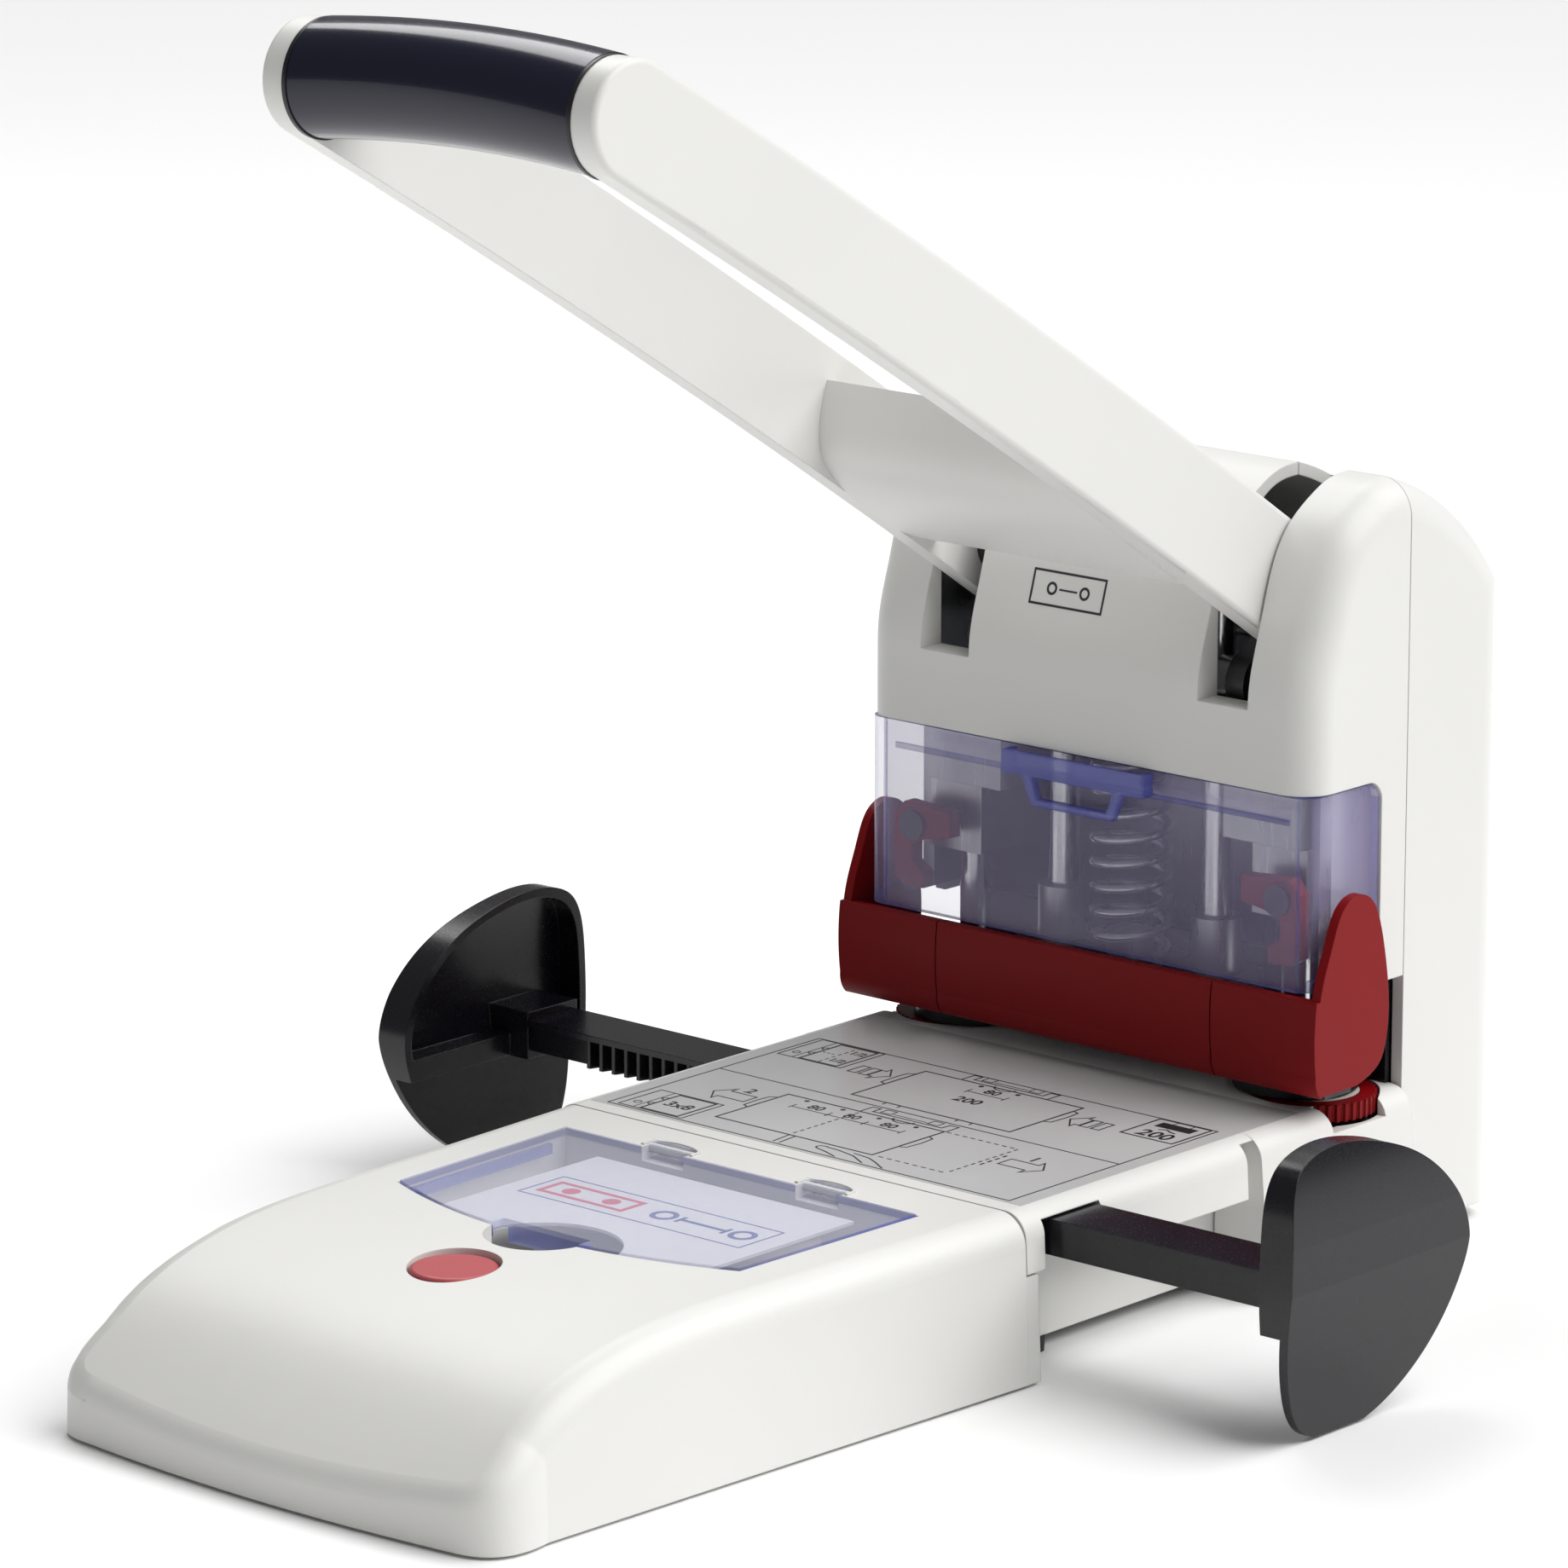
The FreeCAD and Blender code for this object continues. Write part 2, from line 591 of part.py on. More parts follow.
def paddle(rack_y0, rack_y1):
    """Side stop: a thin skin with a rim, a shelf and the rack's socket on its inner face."""
    plate = paddle_prism(1.0).common(box(90, 130, -20, 80, 0.6, 80))
    plate = plate.common(paddle_bulge(0))
    pocket = paddle_prism(0.93).common(box(90, 130, -20, 80, SHELF_Z1, 80))
    below = box(PADDLE_X - 1, PADDLE_OUT, -20, 80, -5, SHELF_Z0)
    plate = cut(plate, pocket.common(paddle_bulge(PADDLE_SKIN)),
                below.common(paddle_bulge(PADDLE_SKIN)))
    socket = box(PADDLE_X - 5.0, PADDLE_OUT - 1.6, rack_y0 - 1.6, rack_y1 + 1.6,
                 RACK_Z0 - 1.4, RACK_Z1 + 1.4)
    body = solid_of(fuse(solid_of(plate), socket))
    return cut(body, box(PADDLE_X - 6, PADDLE_X - 1.5, rack_y0, rack_y1, RACK_Z0, RACK_Z1))


def guide_parts():
    rack, (y0, y1) = rack_bar()
    rack = fuse(rack, box(PADDLE_X - 4.5, PADDLE_X - 1.5, y0, y1, RACK_Z0, RACK_Z1))
    right = paddle(y0, y1)
    gear_top = RACK_Z1 - RACK_CAP_T - 0.3
    pinion = involute_gear(RACK_Z0, gear_top)
    pinion = cut(pinion, rod(4.0 + RUN_CLEAR, 0, PINION_Y, 0, 60))
    bed_z = SKIRT_Z + 1.5
    bed = box(-44, 44, y0 - 2.6, 2 * PINION_Y - y0 + 2.6, SKIRT_Z, bed_z)
    rails = [box(-44, 44, y0 - 2.4, y0 - 0.4, bed_z - 0.1, RACK_Z0 + 4)]
    rails.append(turned_half(rails[0]))
    post = rod(4.0, 0, PINION_Y, bed_z - 0.1, gear_top + 0.2)
    return {
        "guide_rack_right": solid_of(rack),
        "guide_rack_left": solid_of(turned_half(rack)),
        "guide_paddle_right": solid_of(right),
        "guide_paddle_left": solid_of(turned_half(right)),
        "guide_pinion": solid_of(pinion),
        "guide_bed": solid_of(fuse(bed, post, *rails)),
    }


# ---- tower --------------------------------------------------------------
def tower_side(inset):
    """Side outline of the tower: bowed front, sloping roof, straight back."""
    f, r, t = TOWER_FRONT_Y + inset, REAR_Y - inset, TOWER_TOP_Z - inset
    s = TOWER_SPLIT_Y
    bow = Part.BSplineCurve()
    bow.interpolate(
        Points=[V(0, f, SLOT_LOW_Z), V(0, f + 3.4, 123.6), V(0, f + 11.4, 141.4 - inset * 0.7),
                V(0, f + 19.4 - inset * 0.8, 146.8 - inset), V(0, s, t)],
        InitialTangent=V(0, 0, 1), FinalTangent=V(0, 1, 0))
    slope_end = V(0, r, 126.4 - inset * 0.5)
    crown = V(0, 128.0 - inset * 0.3, 140.9 - inset)
    roof = Part.Arc(V(0, s, t), crown, slope_end)
    return bow.toShape(), roof.toShape(), f, r, t, slope_end


def tower_half(inset, front):
    """One half of the tower as a solid, from its side outline."""
    bow, roof, f, r, t, slope_end = tower_side(inset)
    s = TOWER_SPLIT_Y
    low = 0.0
    if front:
        wire = [bow, line(V(0, s, t), V(0, s + 4, t)), line(V(0, s + 4, t), V(0, s + 4, low)),
                line(V(0, s + 4, low), V(0, f, low)), line(V(0, f, low), V(0, f, SLOT_LOW_Z))]
    else:
        wire = [roof, line(slope_end, V(0, r, low)), line(V(0, r, low), V(0, s - 4, low)),
                line(V(0, s - 4, low), V(0, s - 4, t)), line(V(0, s - 4, t), V(0, s, t))]
    face = Part.Face(Part.Wire(wire))
    half = TOWER_HALF - inset
    face.translate(V(-half, 0, 0))
    return solid_of(face.extrude(V(2 * half, 0, 0)))


def edge_rounded_tower(inset, radius):
    front, rear = tower_half(inset, True), tower_half(inset, False)
    front = front.common(box(-60, 60, 60, TOWER_SPLIT_Y + 3, -5, 200))
    half = TOWER_HALF - inset

    def rim(edge):
        return (all_points(edge, lambda p: abs(abs(p.x) - half) < 0.01)
                and edge.BoundBox.ZMax > 30 and edge.BoundBox.YMin < TOWER_SPLIT_Y + 2
                and not all_points(edge, lambda p: p.y > TOWER_SPLIT_Y + 2.9))

    front = front.makeFillet(radius, edges_where(front, rim))

    def back_rim(edge):
        return (all_points(edge, lambda p: abs(abs(p.x) - half) < 0.01)
                and edge.BoundBox.ZMax > 30 and edge.BoundBox.YMax > TOWER_SPLIT_Y - 3
                and not all_points(edge, lambda p: p.y < TOWER_SPLIT_Y - 3.9))

    rear = rear.makeFillet(radius, edges_where(rear, back_rim))
    return front, rear


def tower_parts():
    outer_front, outer_rear = edge_rounded_tower(0, TOWER_EDGE_R)
    inner_front, inner_rear = edge_rounded_tower(WALL, TOWER_EDGE_R - WALL)
    split = TOWER_SPLIT_Y
    front = outer_front.cut(inner_front)
    corner = cut(box(-80, 80, STRIP_FRONT_Y - WINDOW_CORNER_R, STRIP_FRONT_Y + 0.1,
                     COVER_LOW_Z - WINDOW_CORNER_R, COVER_LOW_Z + 0.1),
                 cross_rod(WINDOW_CORNER_R + 0.05, -90, 90, STRIP_FRONT_Y - WINDOW_CORNER_R,
                           COVER_LOW_Z - WINDOW_CORNER_R))
    keep = fuse(box(-80, 80, 60, split - 0.1, COVER_LOW_Z, 200), corner,
                box(-80, 80, STRIP_FRONT_Y, split - 0.1, STRIP_LOW_Z, 200))
    front = front.common(keep)
    rear = outer_rear.cut(inner_rear).common(box(-80, 80, split + 0.1, 200, REAR_FOOT_Z, 200))
    slot = box(SLOT_IN, SLOT_OUT, 60, SLOT_REAR_Y, SLOT_LOW_Z, 200)
    liner = box(SLOT_IN - LINER_T, SLOT_OUT + LINER_T, TOWER_FRONT_Y + 0.5, LINER_REAR_Y,
                SLOT_LOW_Z - LINER_T, LINER_TOP_Z).common(outer_front)
    front = fuse(front, *both_sides(liner))
    for s in both_sides(slot):
        front, rear = front.cut(s), rear.cut(s)
    rear = cut(rear, *both_sides(wheel_room(0.4)))
    screws = []
    for x, z in COVER_SCREWS:
        rear = rear.fuse(long_rod(4.6, x, FRAME_BACK_Y, REAR_Y - 1, z))
        rear = cut(rear, long_rod(3.2, x, REAR_Y - 3.4, REAR_Y + 1, z),
                   long_rod(1.6, x, FRAME_BACK_Y - 1, REAR_Y + 1, z))
        head = long_rod(3.2, x, REAR_Y - 3.4, REAR_Y - 1.4, z)
        head = cut(head, box(x - 2.2, x + 2.2, REAR_Y - 2.2, REAR_Y, z - 0.4, z + 0.4),
                   box(x - 0.4, x + 0.4, REAR_Y - 2.2, REAR_Y, z - 2.2, z + 2.2))
        screws.append(solid_of(fuse(head, long_rod(1.6, x, FRAME_BACK_Y - 2, REAR_Y - 3.4, z))))
    return {
        "tower_front_cover": solid_of(front),
        "tower_rear_cover": solid_of(rear),
        "cover_screws": Part.makeCompound(screws),
    }


def wheel_room(clearance):
    """The space that the right cutting wheel turns in."""
    return rod(WHEEL_R + clearance, WHEEL_X, PUNCH_Y, WHEEL_Z0 - 0.5, WHEEL_TOP + 0.5)


def frame_parts():
    plate = side_prism([(112.0, SKIRT_Z), (134.0, SKIRT_Z), (134.0, 126.0), (128.0, 131.0),
                        (101.0, 131.0), (94.0, 124.0), (94.0, 57.0), (112.0, 57.0)], 47.6, 50.4)
    plate = cut(plate, cross_rod(AXLE_R, 40, 60, PIVOT_Y, PIVOT_Z), wheel_room(0.6))
    top = COLUMN_Z1
    bridge = box(-22.6, 22.6, 94, 134, top - 3.4, top)
    bridge = cut(bridge, *both_sides(rod(COLUMN_R, COLUMN_X, COLUMN_Y, 0, 200)))
    back = box(-47.6, 47.6, 134, FRAME_BACK_Y, SKIRT_Z, top)
    for x, z in COVER_SCREWS:
        back = cut(back, long_rod(1.6, x, 130, 140, z))
    stop = box(-52.2, 52.2, PUNCH_Y + MARGIN, PUNCH_Y + MARGIN + 1.2, DECK_Z, STRIP_LOW_Z)
    stop = fuse(stop, box(-46, 46, PUNCH_Y + MARGIN, PUNCH_Y + MARGIN + 4.2, DECK_Z, DECK_Z + 1.2))
    columns = both_sides(rod(COLUMN_R, COLUMN_X, COLUMN_Y, COLUMN_Z0, top))
    axle = cross_rod(AXLE_R, -51.6, 51.6, PIVOT_Y, PIVOT_Z)
    groove = cut(cross_rod(AXLE_R + 1, 50.5, 51.3, PIVOT_Y, PIVOT_Z),
                 cross_rod(AXLE_R - 0.8, 50, 52, PIVOT_Y, PIVOT_Z))
    axle = cut(axle, *both_sides(groove))
    clip = cut(cross_rod(AXLE_R + 2.2, 50.5, 51.3, PIVOT_Y, PIVOT_Z),
               cross_rod(AXLE_R - 0.8, 50, 52, PIVOT_Y, PIVOT_Z),
               box(50, 52, PIVOT_Y - 2.4, PIVOT_Y + 2.4, PIVOT_Z - 10, PIVOT_Z))
    spacer = cut(cross_rod(AXLE_R + 2.5, ARM_OUT + 0.5, 47.6, PIVOT_Y, PIVOT_Z),
                 cross_rod(AXLE_R, 30, 60, PIVOT_Y, PIVOT_Z))
    return {
        "frame_sides": Part.makeCompound(both_sides(solid_of(plate))),
        "frame_back": back,
        "frame_bridge": solid_of(bridge),
        "paper_stop": solid_of(stop),
        "guide_columns": Part.makeCompound(columns),
        "lever_axle": solid_of(axle),
        "axle_clips": Part.makeCompound(both_sides(clip)),
        "axle_spacers": Part.makeCompound(both_sides(spacer)),
    }


# ---- cutting wheels -----------------------------------------------------
def wheel_parts():
    parts = {}
    seats = []
    for side, s in (("left", -1), ("right", 1)):
        x = s * WHEEL_X
        wheel = rod(WHEEL_R, x, PUNCH_Y, WHEEL_Z0, WHEEL_TOP)
        count = 44
        grip = []
        for k in range(count):
            a = 2 * math.pi * k / count
            grip.append(rod(0.55, x + WHEEL_R * math.cos(a), PUNCH_Y + WHEEL_R * math.sin(a),
                            WHEEL_Z0 - 1, WHEEL_TOP + 1))
        wheel = cut(wheel, Part.makeCompound(grip), rod(INSERT_R, x, PUNCH_Y, WHEEL_Z0 + 1, 60),
                    rod(4.0 + RUN_CLEAR, x, PUNCH_Y, 0, 60))
        insert = cut(rod(INSERT_R, x, PUNCH_Y, WHEEL_Z0 + 1, WHEEL_TOP),
                     rod(4.0 + RUN_CLEAR, x, PUNCH_Y, 0, WHEEL_TOP - 1.6))
        seat = fuse(rod(11.0, x, PUNCH_Y, SKIRT_Z, WHEEL_Z0 - 0.4),
                    rod(4.0, x, PUNCH_Y, SKIRT_Z, WHEEL_TOP - 1.9))
        parts["cutting_wheel_" + side] = solid_of(wheel)
        parts["cutting_pad_" + side] = solid_of(insert)
        seats.append(solid_of(seat))
    parts["wheel_seats"] = Part.makeCompound(seats)
    return parts


# ---- carriage -----------------------------------------------------------
def carriage_parts():
    beam = fuse(box(-28.7, 28.7, BEAM_Y0, BEAM_Y1, BEAM_Z0, BEAM_Z1),
                box(-46, 46, BEAM_Y0, BEAM_WING_Y, BEAM_Z0, BEAM_Z1 - 6))
    holes = both_sides(rod(BUSH_R, COLUMN_X, COLUMN_Y, 0, 200))
    beam = cut(beam, *holes)
    bush = cut(rod(BUSH_R, COLUMN_X, COLUMN_Y, BEAM_Z0, BEAM_Z1),
               rod(COLUMN_R + RUN_CLEAR, COLUMN_X, COLUMN_Y, 0, 200))
    x = HOLE_SPACING / 2
    holder = fuse(box(27.5, 46, BEAM_Y0, 103, HOLDER_Z0 + 14, BEAM_Z0),
                  box(x - 6.5, 46.5, BEAM_Y0 + 1.5, 104, HOLDER_Z0, HOLDER_Z0 + 14))
    holder = cut(holder, rod(5.0, x, PUNCH_Y, 0, 200))
    punch = fuse(rod(PUNCH_R, x, PUNCH_Y, PUNCH_TIP_Z, HOLDER_Z0 + 1),
                 rod(5.0, x, PUNCH_Y, HOLDER_Z0, BEAM_Z0))
    punch = cut(punch, rod(PUNCH_BORE_R, x, PUNCH_Y, PUNCH_TIP_Z - 1, BEAM_Z0 - 4))
    bevel = Part.makeCone(PUNCH_R + 0.01, PUNCH_BORE_R + 0.1, 1.2, V(x, PUNCH_Y, PUNCH_TIP_Z + 1.2),
                          V(0, 0, -1))
    ring = cut(rod(PUNCH_R + 1, x, PUNCH_Y, PUNCH_TIP_Z - 0.1, PUNCH_TIP_Z + 1.2), bevel)
    punch = solid_of(cut(punch, ring))
    pin = fuse(long_rod(1.8, x + 5.0, 84.0, BEAM_Y0 + 1.5, 71.5),
               long_rod(3.0, x + 5.0, 83.9, 84.7, 71.5))
    pins = both_sides(solid_of(pin))
    parts = {
        "carriage_beam": solid_of(beam),
        "column_bushes": Part.makeCompound(both_sides(bush)),
        "release_pins": Part.makeCompound(pins),
    }
    parts["punch_holders"] = Part.makeCompound(both_sides(solid_of(holder)))
    for side, shape in (("right", punch), ("left", mirrored(punch))):
        parts["punch_" + side] = solid_of(shape)
    parts["clamp_spring"] = helix_spring(SPRING_R, WIRE_R, YOKE_FLOOR_Z + 2.0, BEAM_Z0, SPRING_TURNS,
                                         0, 96.5)
    lever = [(36.0, 70.0), (36.0, 75.0), (47.5, 75.8), (50.0, 73.0), (50.0, 60.5), (47.6, 59.0),
             (42.6, 59.0), (42.6, 62.0), (45.5, 64.0), (45.5, 67.6), (42.0, 69.0)]
    hook = front_prism(lever, 84.9, 88.0)
    hook = cut(hook, long_rod(1.8 + RUN_CLEAR, x + 5.0, 80, 100, 71.5))
    parts["punch_release_right"] = solid_of(hook)
    parts["punch_release_left"] = solid_of(mirrored(hook))
    return parts


# ---- lever --------------------------------------------------------------
def tilted(shape):
    """From the lever's own frame (y back along the arm, z up) to its place."""
    turned = shape.copy()
    turned.rotate(V(0, 0, 0), X_AXIS, -LEVER_RISE)
    turned.translate(V(0, PIVOT_Y, PIVOT_Z))
    return turned


def arm_outline():
    n = LEVER_LENGTH
    mid = n / 2
    root, end = ARM_ROOT_R, ARM_HALF
    return [
        arc(V(0, 0, -root), V(0, root, 0), V(0, 0, root)),
        arc(V(0, 0, root), V(0, -mid, ARM_HALF + ARM_BOW + 0.3), V(0, -n, end)),
        arc(V(0, -n, end), V(0, -n - end, 0), V(0, -n, -end)),
        arc(V(0, -n, -end), V(0, -mid, -ARM_HALF + ARM_BOW - 0.1), V(0, 0, -root)),
    ]


def lever_parts():
    face = Part.Face(Part.Wire(arm_outline()))
    face.translate(V(ARM_IN, 0, 0))
    arm = face.extrude(V(ARM_OUT - ARM_IN, 0, 0))
    outer_rim = edges_where(arm, lambda e: all_points(e, lambda p: abs(p.x - ARM_OUT) < 0.01))
    arm = arm.makeFillet(1.2, outer_rim)
    arm = cut(arm, cross_rod(AXLE_R + RUN_CLEAR, 30, 45, 0, 0),
              cross_rod(GRIP_CORE_R, 30, 45 - 7.5, -LEVER_LENGTH, 0))
    arm = solid_of(tilted(arm))
    roller_y, roller_z = PIVOT_Y - ROLLER_AHEAD, PIVOT_Z - ROLLER_DROP
    plate = hull_link([(PIVOT_Y, PIVOT_Z, 8.0), (roller_y, roller_z, 5.6)], 29.6, 33.9)
    lug_y = PIVOT_Y - 19 * math.cos(math.radians(LEVER_RISE))
    lug_z = PIVOT_Z + 19 * math.sin(math.radians(LEVER_RISE))
    plate = fuse(plate, hull_link([(PIVOT_Y, PIVOT_Z, 8.0), (lug_y, lug_z, 6.0)], 29.6, 33.9))
    plate = cut(plate, cross_rod(AXLE_R + RUN_CLEAR, 20, 45, PIVOT_Y, PIVOT_Z),
                cross_rod(2.2, 20, 45, roller_y, roller_z))
    roller_pin = fuse(cross_rod(2.2, 24.2, 33.9, roller_y, roller_z),
                      cross_rod(3.2, 23.4, 24.3, roller_y, roller_z))
    roller = cut(cross_rod(ROLLER_R, 24.6, 28.8, roller_y, roller_z),
                 cross_rod(2.2 + RUN_CLEAR, 20, 30, roller_y, roller_z))
    grip = grip_parts()
    parts = {
        "lever_arm_right": arm,
        "lever_arm_left": mirrored(arm),
        "lever_plates": Part.makeCompound(both_sides(solid_of(plate))),
        "roller_pins": Part.makeCompound(both_sides(solid_of(roller_pin))),
        "push_rollers": Part.makeCompound(both_sides(roller)),
        "lever_web": lever_web(),
    }
    parts.update(grip)
    return parts


def hull_link(circles, x0, x1):
    """Two round ends joined by straight tangents, swept along X."""
    (y1, z1, r1), (y2, z2, r2) = circles
    d = math.hypot(y2 - y1, z2 - z1)
    heading = math.atan2(z2 - z1, y2 - y1)
    spread = math.acos((r1 - r2) / d)
    corners = []
    for y, z, r, sign in ((y1, z1, r1, 1), (y2, z2, r2, 1), (y2, z2, r2, -1), (y1, z1, r1, -1)):
        a = heading + sign * spread
        corners.append((y + r * math.cos(a), z + r * math.sin(a)))
    return fuse(side_prism(corners, x0, x1), cross_rod(r1, x0, x1, y1, z1),
                cross_rod(r2, x0, x1, y2, z2))


def lever_web():
    """Curved web that ties the two arms together in front of the tower."""
    outer = [(46.5, 166.2), (44.6, 160.0), (44.6, 153.0), (49.5, 146.0), (58.5, 139.2),
             (68.5, 133.6), (78.3, 130.6)]
    path = curve([V(0, y, z) for y, z in outer])
    t = 2.6
    inner = []
    for k, (y, z) in enumerate(outer):
        a = outer[max(0, k - 1)]
        b = outer[min(len(outer) - 1, k + 1)]
        dy, dz = b[0] - a[0], b[1] - a[1]
        n = math.hypot(dy, dz)
        inner.append(V(0, y - dz / n * t, z + dy / n * t))
    back = curve(inner)
    face = Part.Face(Part.Wire([
        path, line(V(0, *outer[-1]), inner[-1]), back, line(inner[0], V(0, *outer[0]))]))
    face.translate(V(-ARM_IN, 0, 0))
    return solid_of(face.extrude(V(2 * ARM_IN, 0, 0)))


def grip_parts():
    half = ARM_IN - 0.9
    n = LEVER_LENGTH

    def sleeve(radius, x_half, bow):
        path = Part.Wire([arc(V(-x_half, -n, 0), V(0, -n, bow), V(x_half, -n, 0))])
        start = path.Vertexes[0].Point
        ring = Part.Wire([Part.makeCircle(radius, start, path.Edges[0].tangentAt(
            path.Edges[0].ParameterRange[0]))])
        return solid_of(path.makePipeShell([ring], True, False))

    body = sleeve(GRIP_R, half + 2, GRIP_BOW).common(box(-half, half, -n - 20, -n + 20, -20, 20))
    body = cut(body, cross_rod(GRIP_CORE_R, -half - 1, half + 1, -n, 0))
    core = cross_rod(GRIP_CORE_R, -(45 - 7.5), 45 - 7.5, -n, 0)
    ring = cut(cross_rod(GRIP_R + 0.1, half, ARM_IN, -n, 0),
               cross_rod(GRIP_CORE_R, half - 1, ARM_IN + 1, -n, 0))
    return {
        "grip_sleeve": solid_of(tilted(body)),
        "grip_core": solid_of(tilted(core)),
        "grip_rings": Part.makeCompound([tilted(r) for r in both_sides(ring)]),
    }


# ---- clamp --------------------------------------------------------------
def clamp_wall(x0, x1, y0, z0, z1):
    """Front wall of the clamp, bellied forward, with a round lower edge."""
    back = y0 + CLAMP_T
    top_front = V(x0, y0 + 0.5, z1)
    edges = [
        line(V(x0, back, z0), V(x0, back, z1)),
        line(V(x0, back, z1), top_front),
        arc(top_front, V(x0, y0, (z0 + z1) / 2 + 1), V(x0, y0 + 0.5, z0 + 4.4)),
        arc(V(x0, y0 + 0.5, z0 + 4.4), V(x0, y0 + 1.0, z0 + 1.6), V(x0, back - 0.4, z0)),
        line(V(x0, back - 0.4, z0), V(x0, back, z0)),
    ]
    return Part.Face(Part.Wire(edges)).extrude(V(x1 - x0, 0, 0))


def clamp_parts():
    center = clamp_wall(-CLAMP_SEAM_X + 0.15, CLAMP_SEAM_X - 0.15, CLAMP_FRONT_Y, CLAMP_Z0, CLAMP_Z1)
    wall = clamp_wall(CLAMP_SEAM_X + 0.15, CLAMP_HALF, CLAMP_FRONT_Y, CLAMP_Z0, CLAMP_Z1)
    ear_outline = [(79.6, CLAMP_Z0 + 1.6), (80.8, CLAMP_Z0 + 0.3), (91.5, CLAMP_Z0 + 0.4),
                   (95.0, 37.6), (98.9, 40.0), (100.6, 44.0), (101.2, 50.0), (99.6, 62.0),
                   (97.9, 68.0), (95.5, 72.0), (92.0, 73.6), (87.6, 72.3), (83.6, 65.3),
                   (80.9, 58.4), (80.0, 54.6)]
    rear = curve([V(0, y, z) for y, z in ear_outline[2:]])
    first, last = ear_outline[2], ear_outline[-1]
    ear = Part.Face(Part.Wire([
        rear,
        line(V(0, *last), V(0, 79.2, 54.6)),
        line(V(0, 79.2, 54.6), V(0, 79.6, ear_outline[0][1])),
        line(V(0, 79.6, ear_outline[0][1]), V(0, *ear_outline[1])),
        line(V(0, *ear_outline[1]), V(0, *first)),
    ]))
    ear.translate(V(CLAMP_HALF - EAR_T, 0, 0))
    ear = ear.extrude(V(EAR_T, 0, 0))
    boss = box(TOWER_HALF + 0.2, CLAMP_HALF - EAR_T + 0.1, ARM_FRONT_Y, ARM_FRONT_Y + 8,
               PLATE_Z1, PLATE_Z1 + 4)
    right = solid_of(fuse(wall, ear, boss))
    tongue = box(-CLAMP_SEAM_X - 0.15, CLAMP_SEAM_X + 0.15, CLAMP_FRONT_Y + 1.4,
                 CLAMP_FRONT_Y + CLAMP_T - 0.1, CLAMP_Z0 + 3, CLAMP_Z1 - 2)
    center = solid_of(fuse(center, tongue))
    plate = box(-51.4, 51.4, 93.0, 106.4, PLATE_Z0, PLATE_Z1)
    arm = fuse(box(46.0, 51.4, ARM_FRONT_Y, 94.0, PLATE_Z0, PLATE_Z1),
               box(50.0, CLAMP_HALF - EAR_T, ARM_FRONT_Y, ARM_FRONT_Y + 8, PLATE_Z0, PLATE_Z1))
    plate = fuse(plate, *both_sides(arm))
    x = HOLE_SPACING / 2
    plate = cut(plate, *both_sides(rod(6.0, x, PUNCH_Y, 0, 60)),
                *both_sides(rod(COLUMN_R + 0.5, COLUMN_X, COLUMN_Y, 0, 60)))
    disc = fuse(rod(DISC_R, x, PUNCH_Y, DISC_LOW_Z, PLATE_Z0),
                rod(6.0, x, PUNCH_Y, DISC_LOW_Z, PLATE_Z1))
    disc = cut(disc, rod(PUNCH_R + 0.4, x, PUNCH_Y, 0, 60))
    floor_z = YOKE_FLOOR_Z
    yoke = fuse(box(-26, 26, 88.2, 105.0, floor_z, floor_z + 2.0),
                box(-26, -23.6, 93.5, 105.0, PLATE_Z1, floor_z + 1),
                box(23.6, 26, 93.5, 105.0, PLATE_Z1, floor_z + 1),
                rod(4.6, 0, 96.5, floor_z + 1, floor_z + 7.0),
                *both_sides(rod(4.9, COLUMN_X, COLUMN_Y, floor_z + 1, floor_z + 12.6)))
    yoke = cut(yoke, *both_sides(rod(COLUMN_R + RUN_CLEAR, COLUMN_X, COLUMN_Y, 0, 200)))
    return {
        "clamp_bar_center": center,
        "clamp_ear_right": right,
        "clamp_ear_left": mirrored(right),
        "clamp_plate": solid_of(plate),
        "clamp_discs": Part.makeCompound(both_sides(disc)),
        "clamp_yoke": solid_of(yoke),
    }


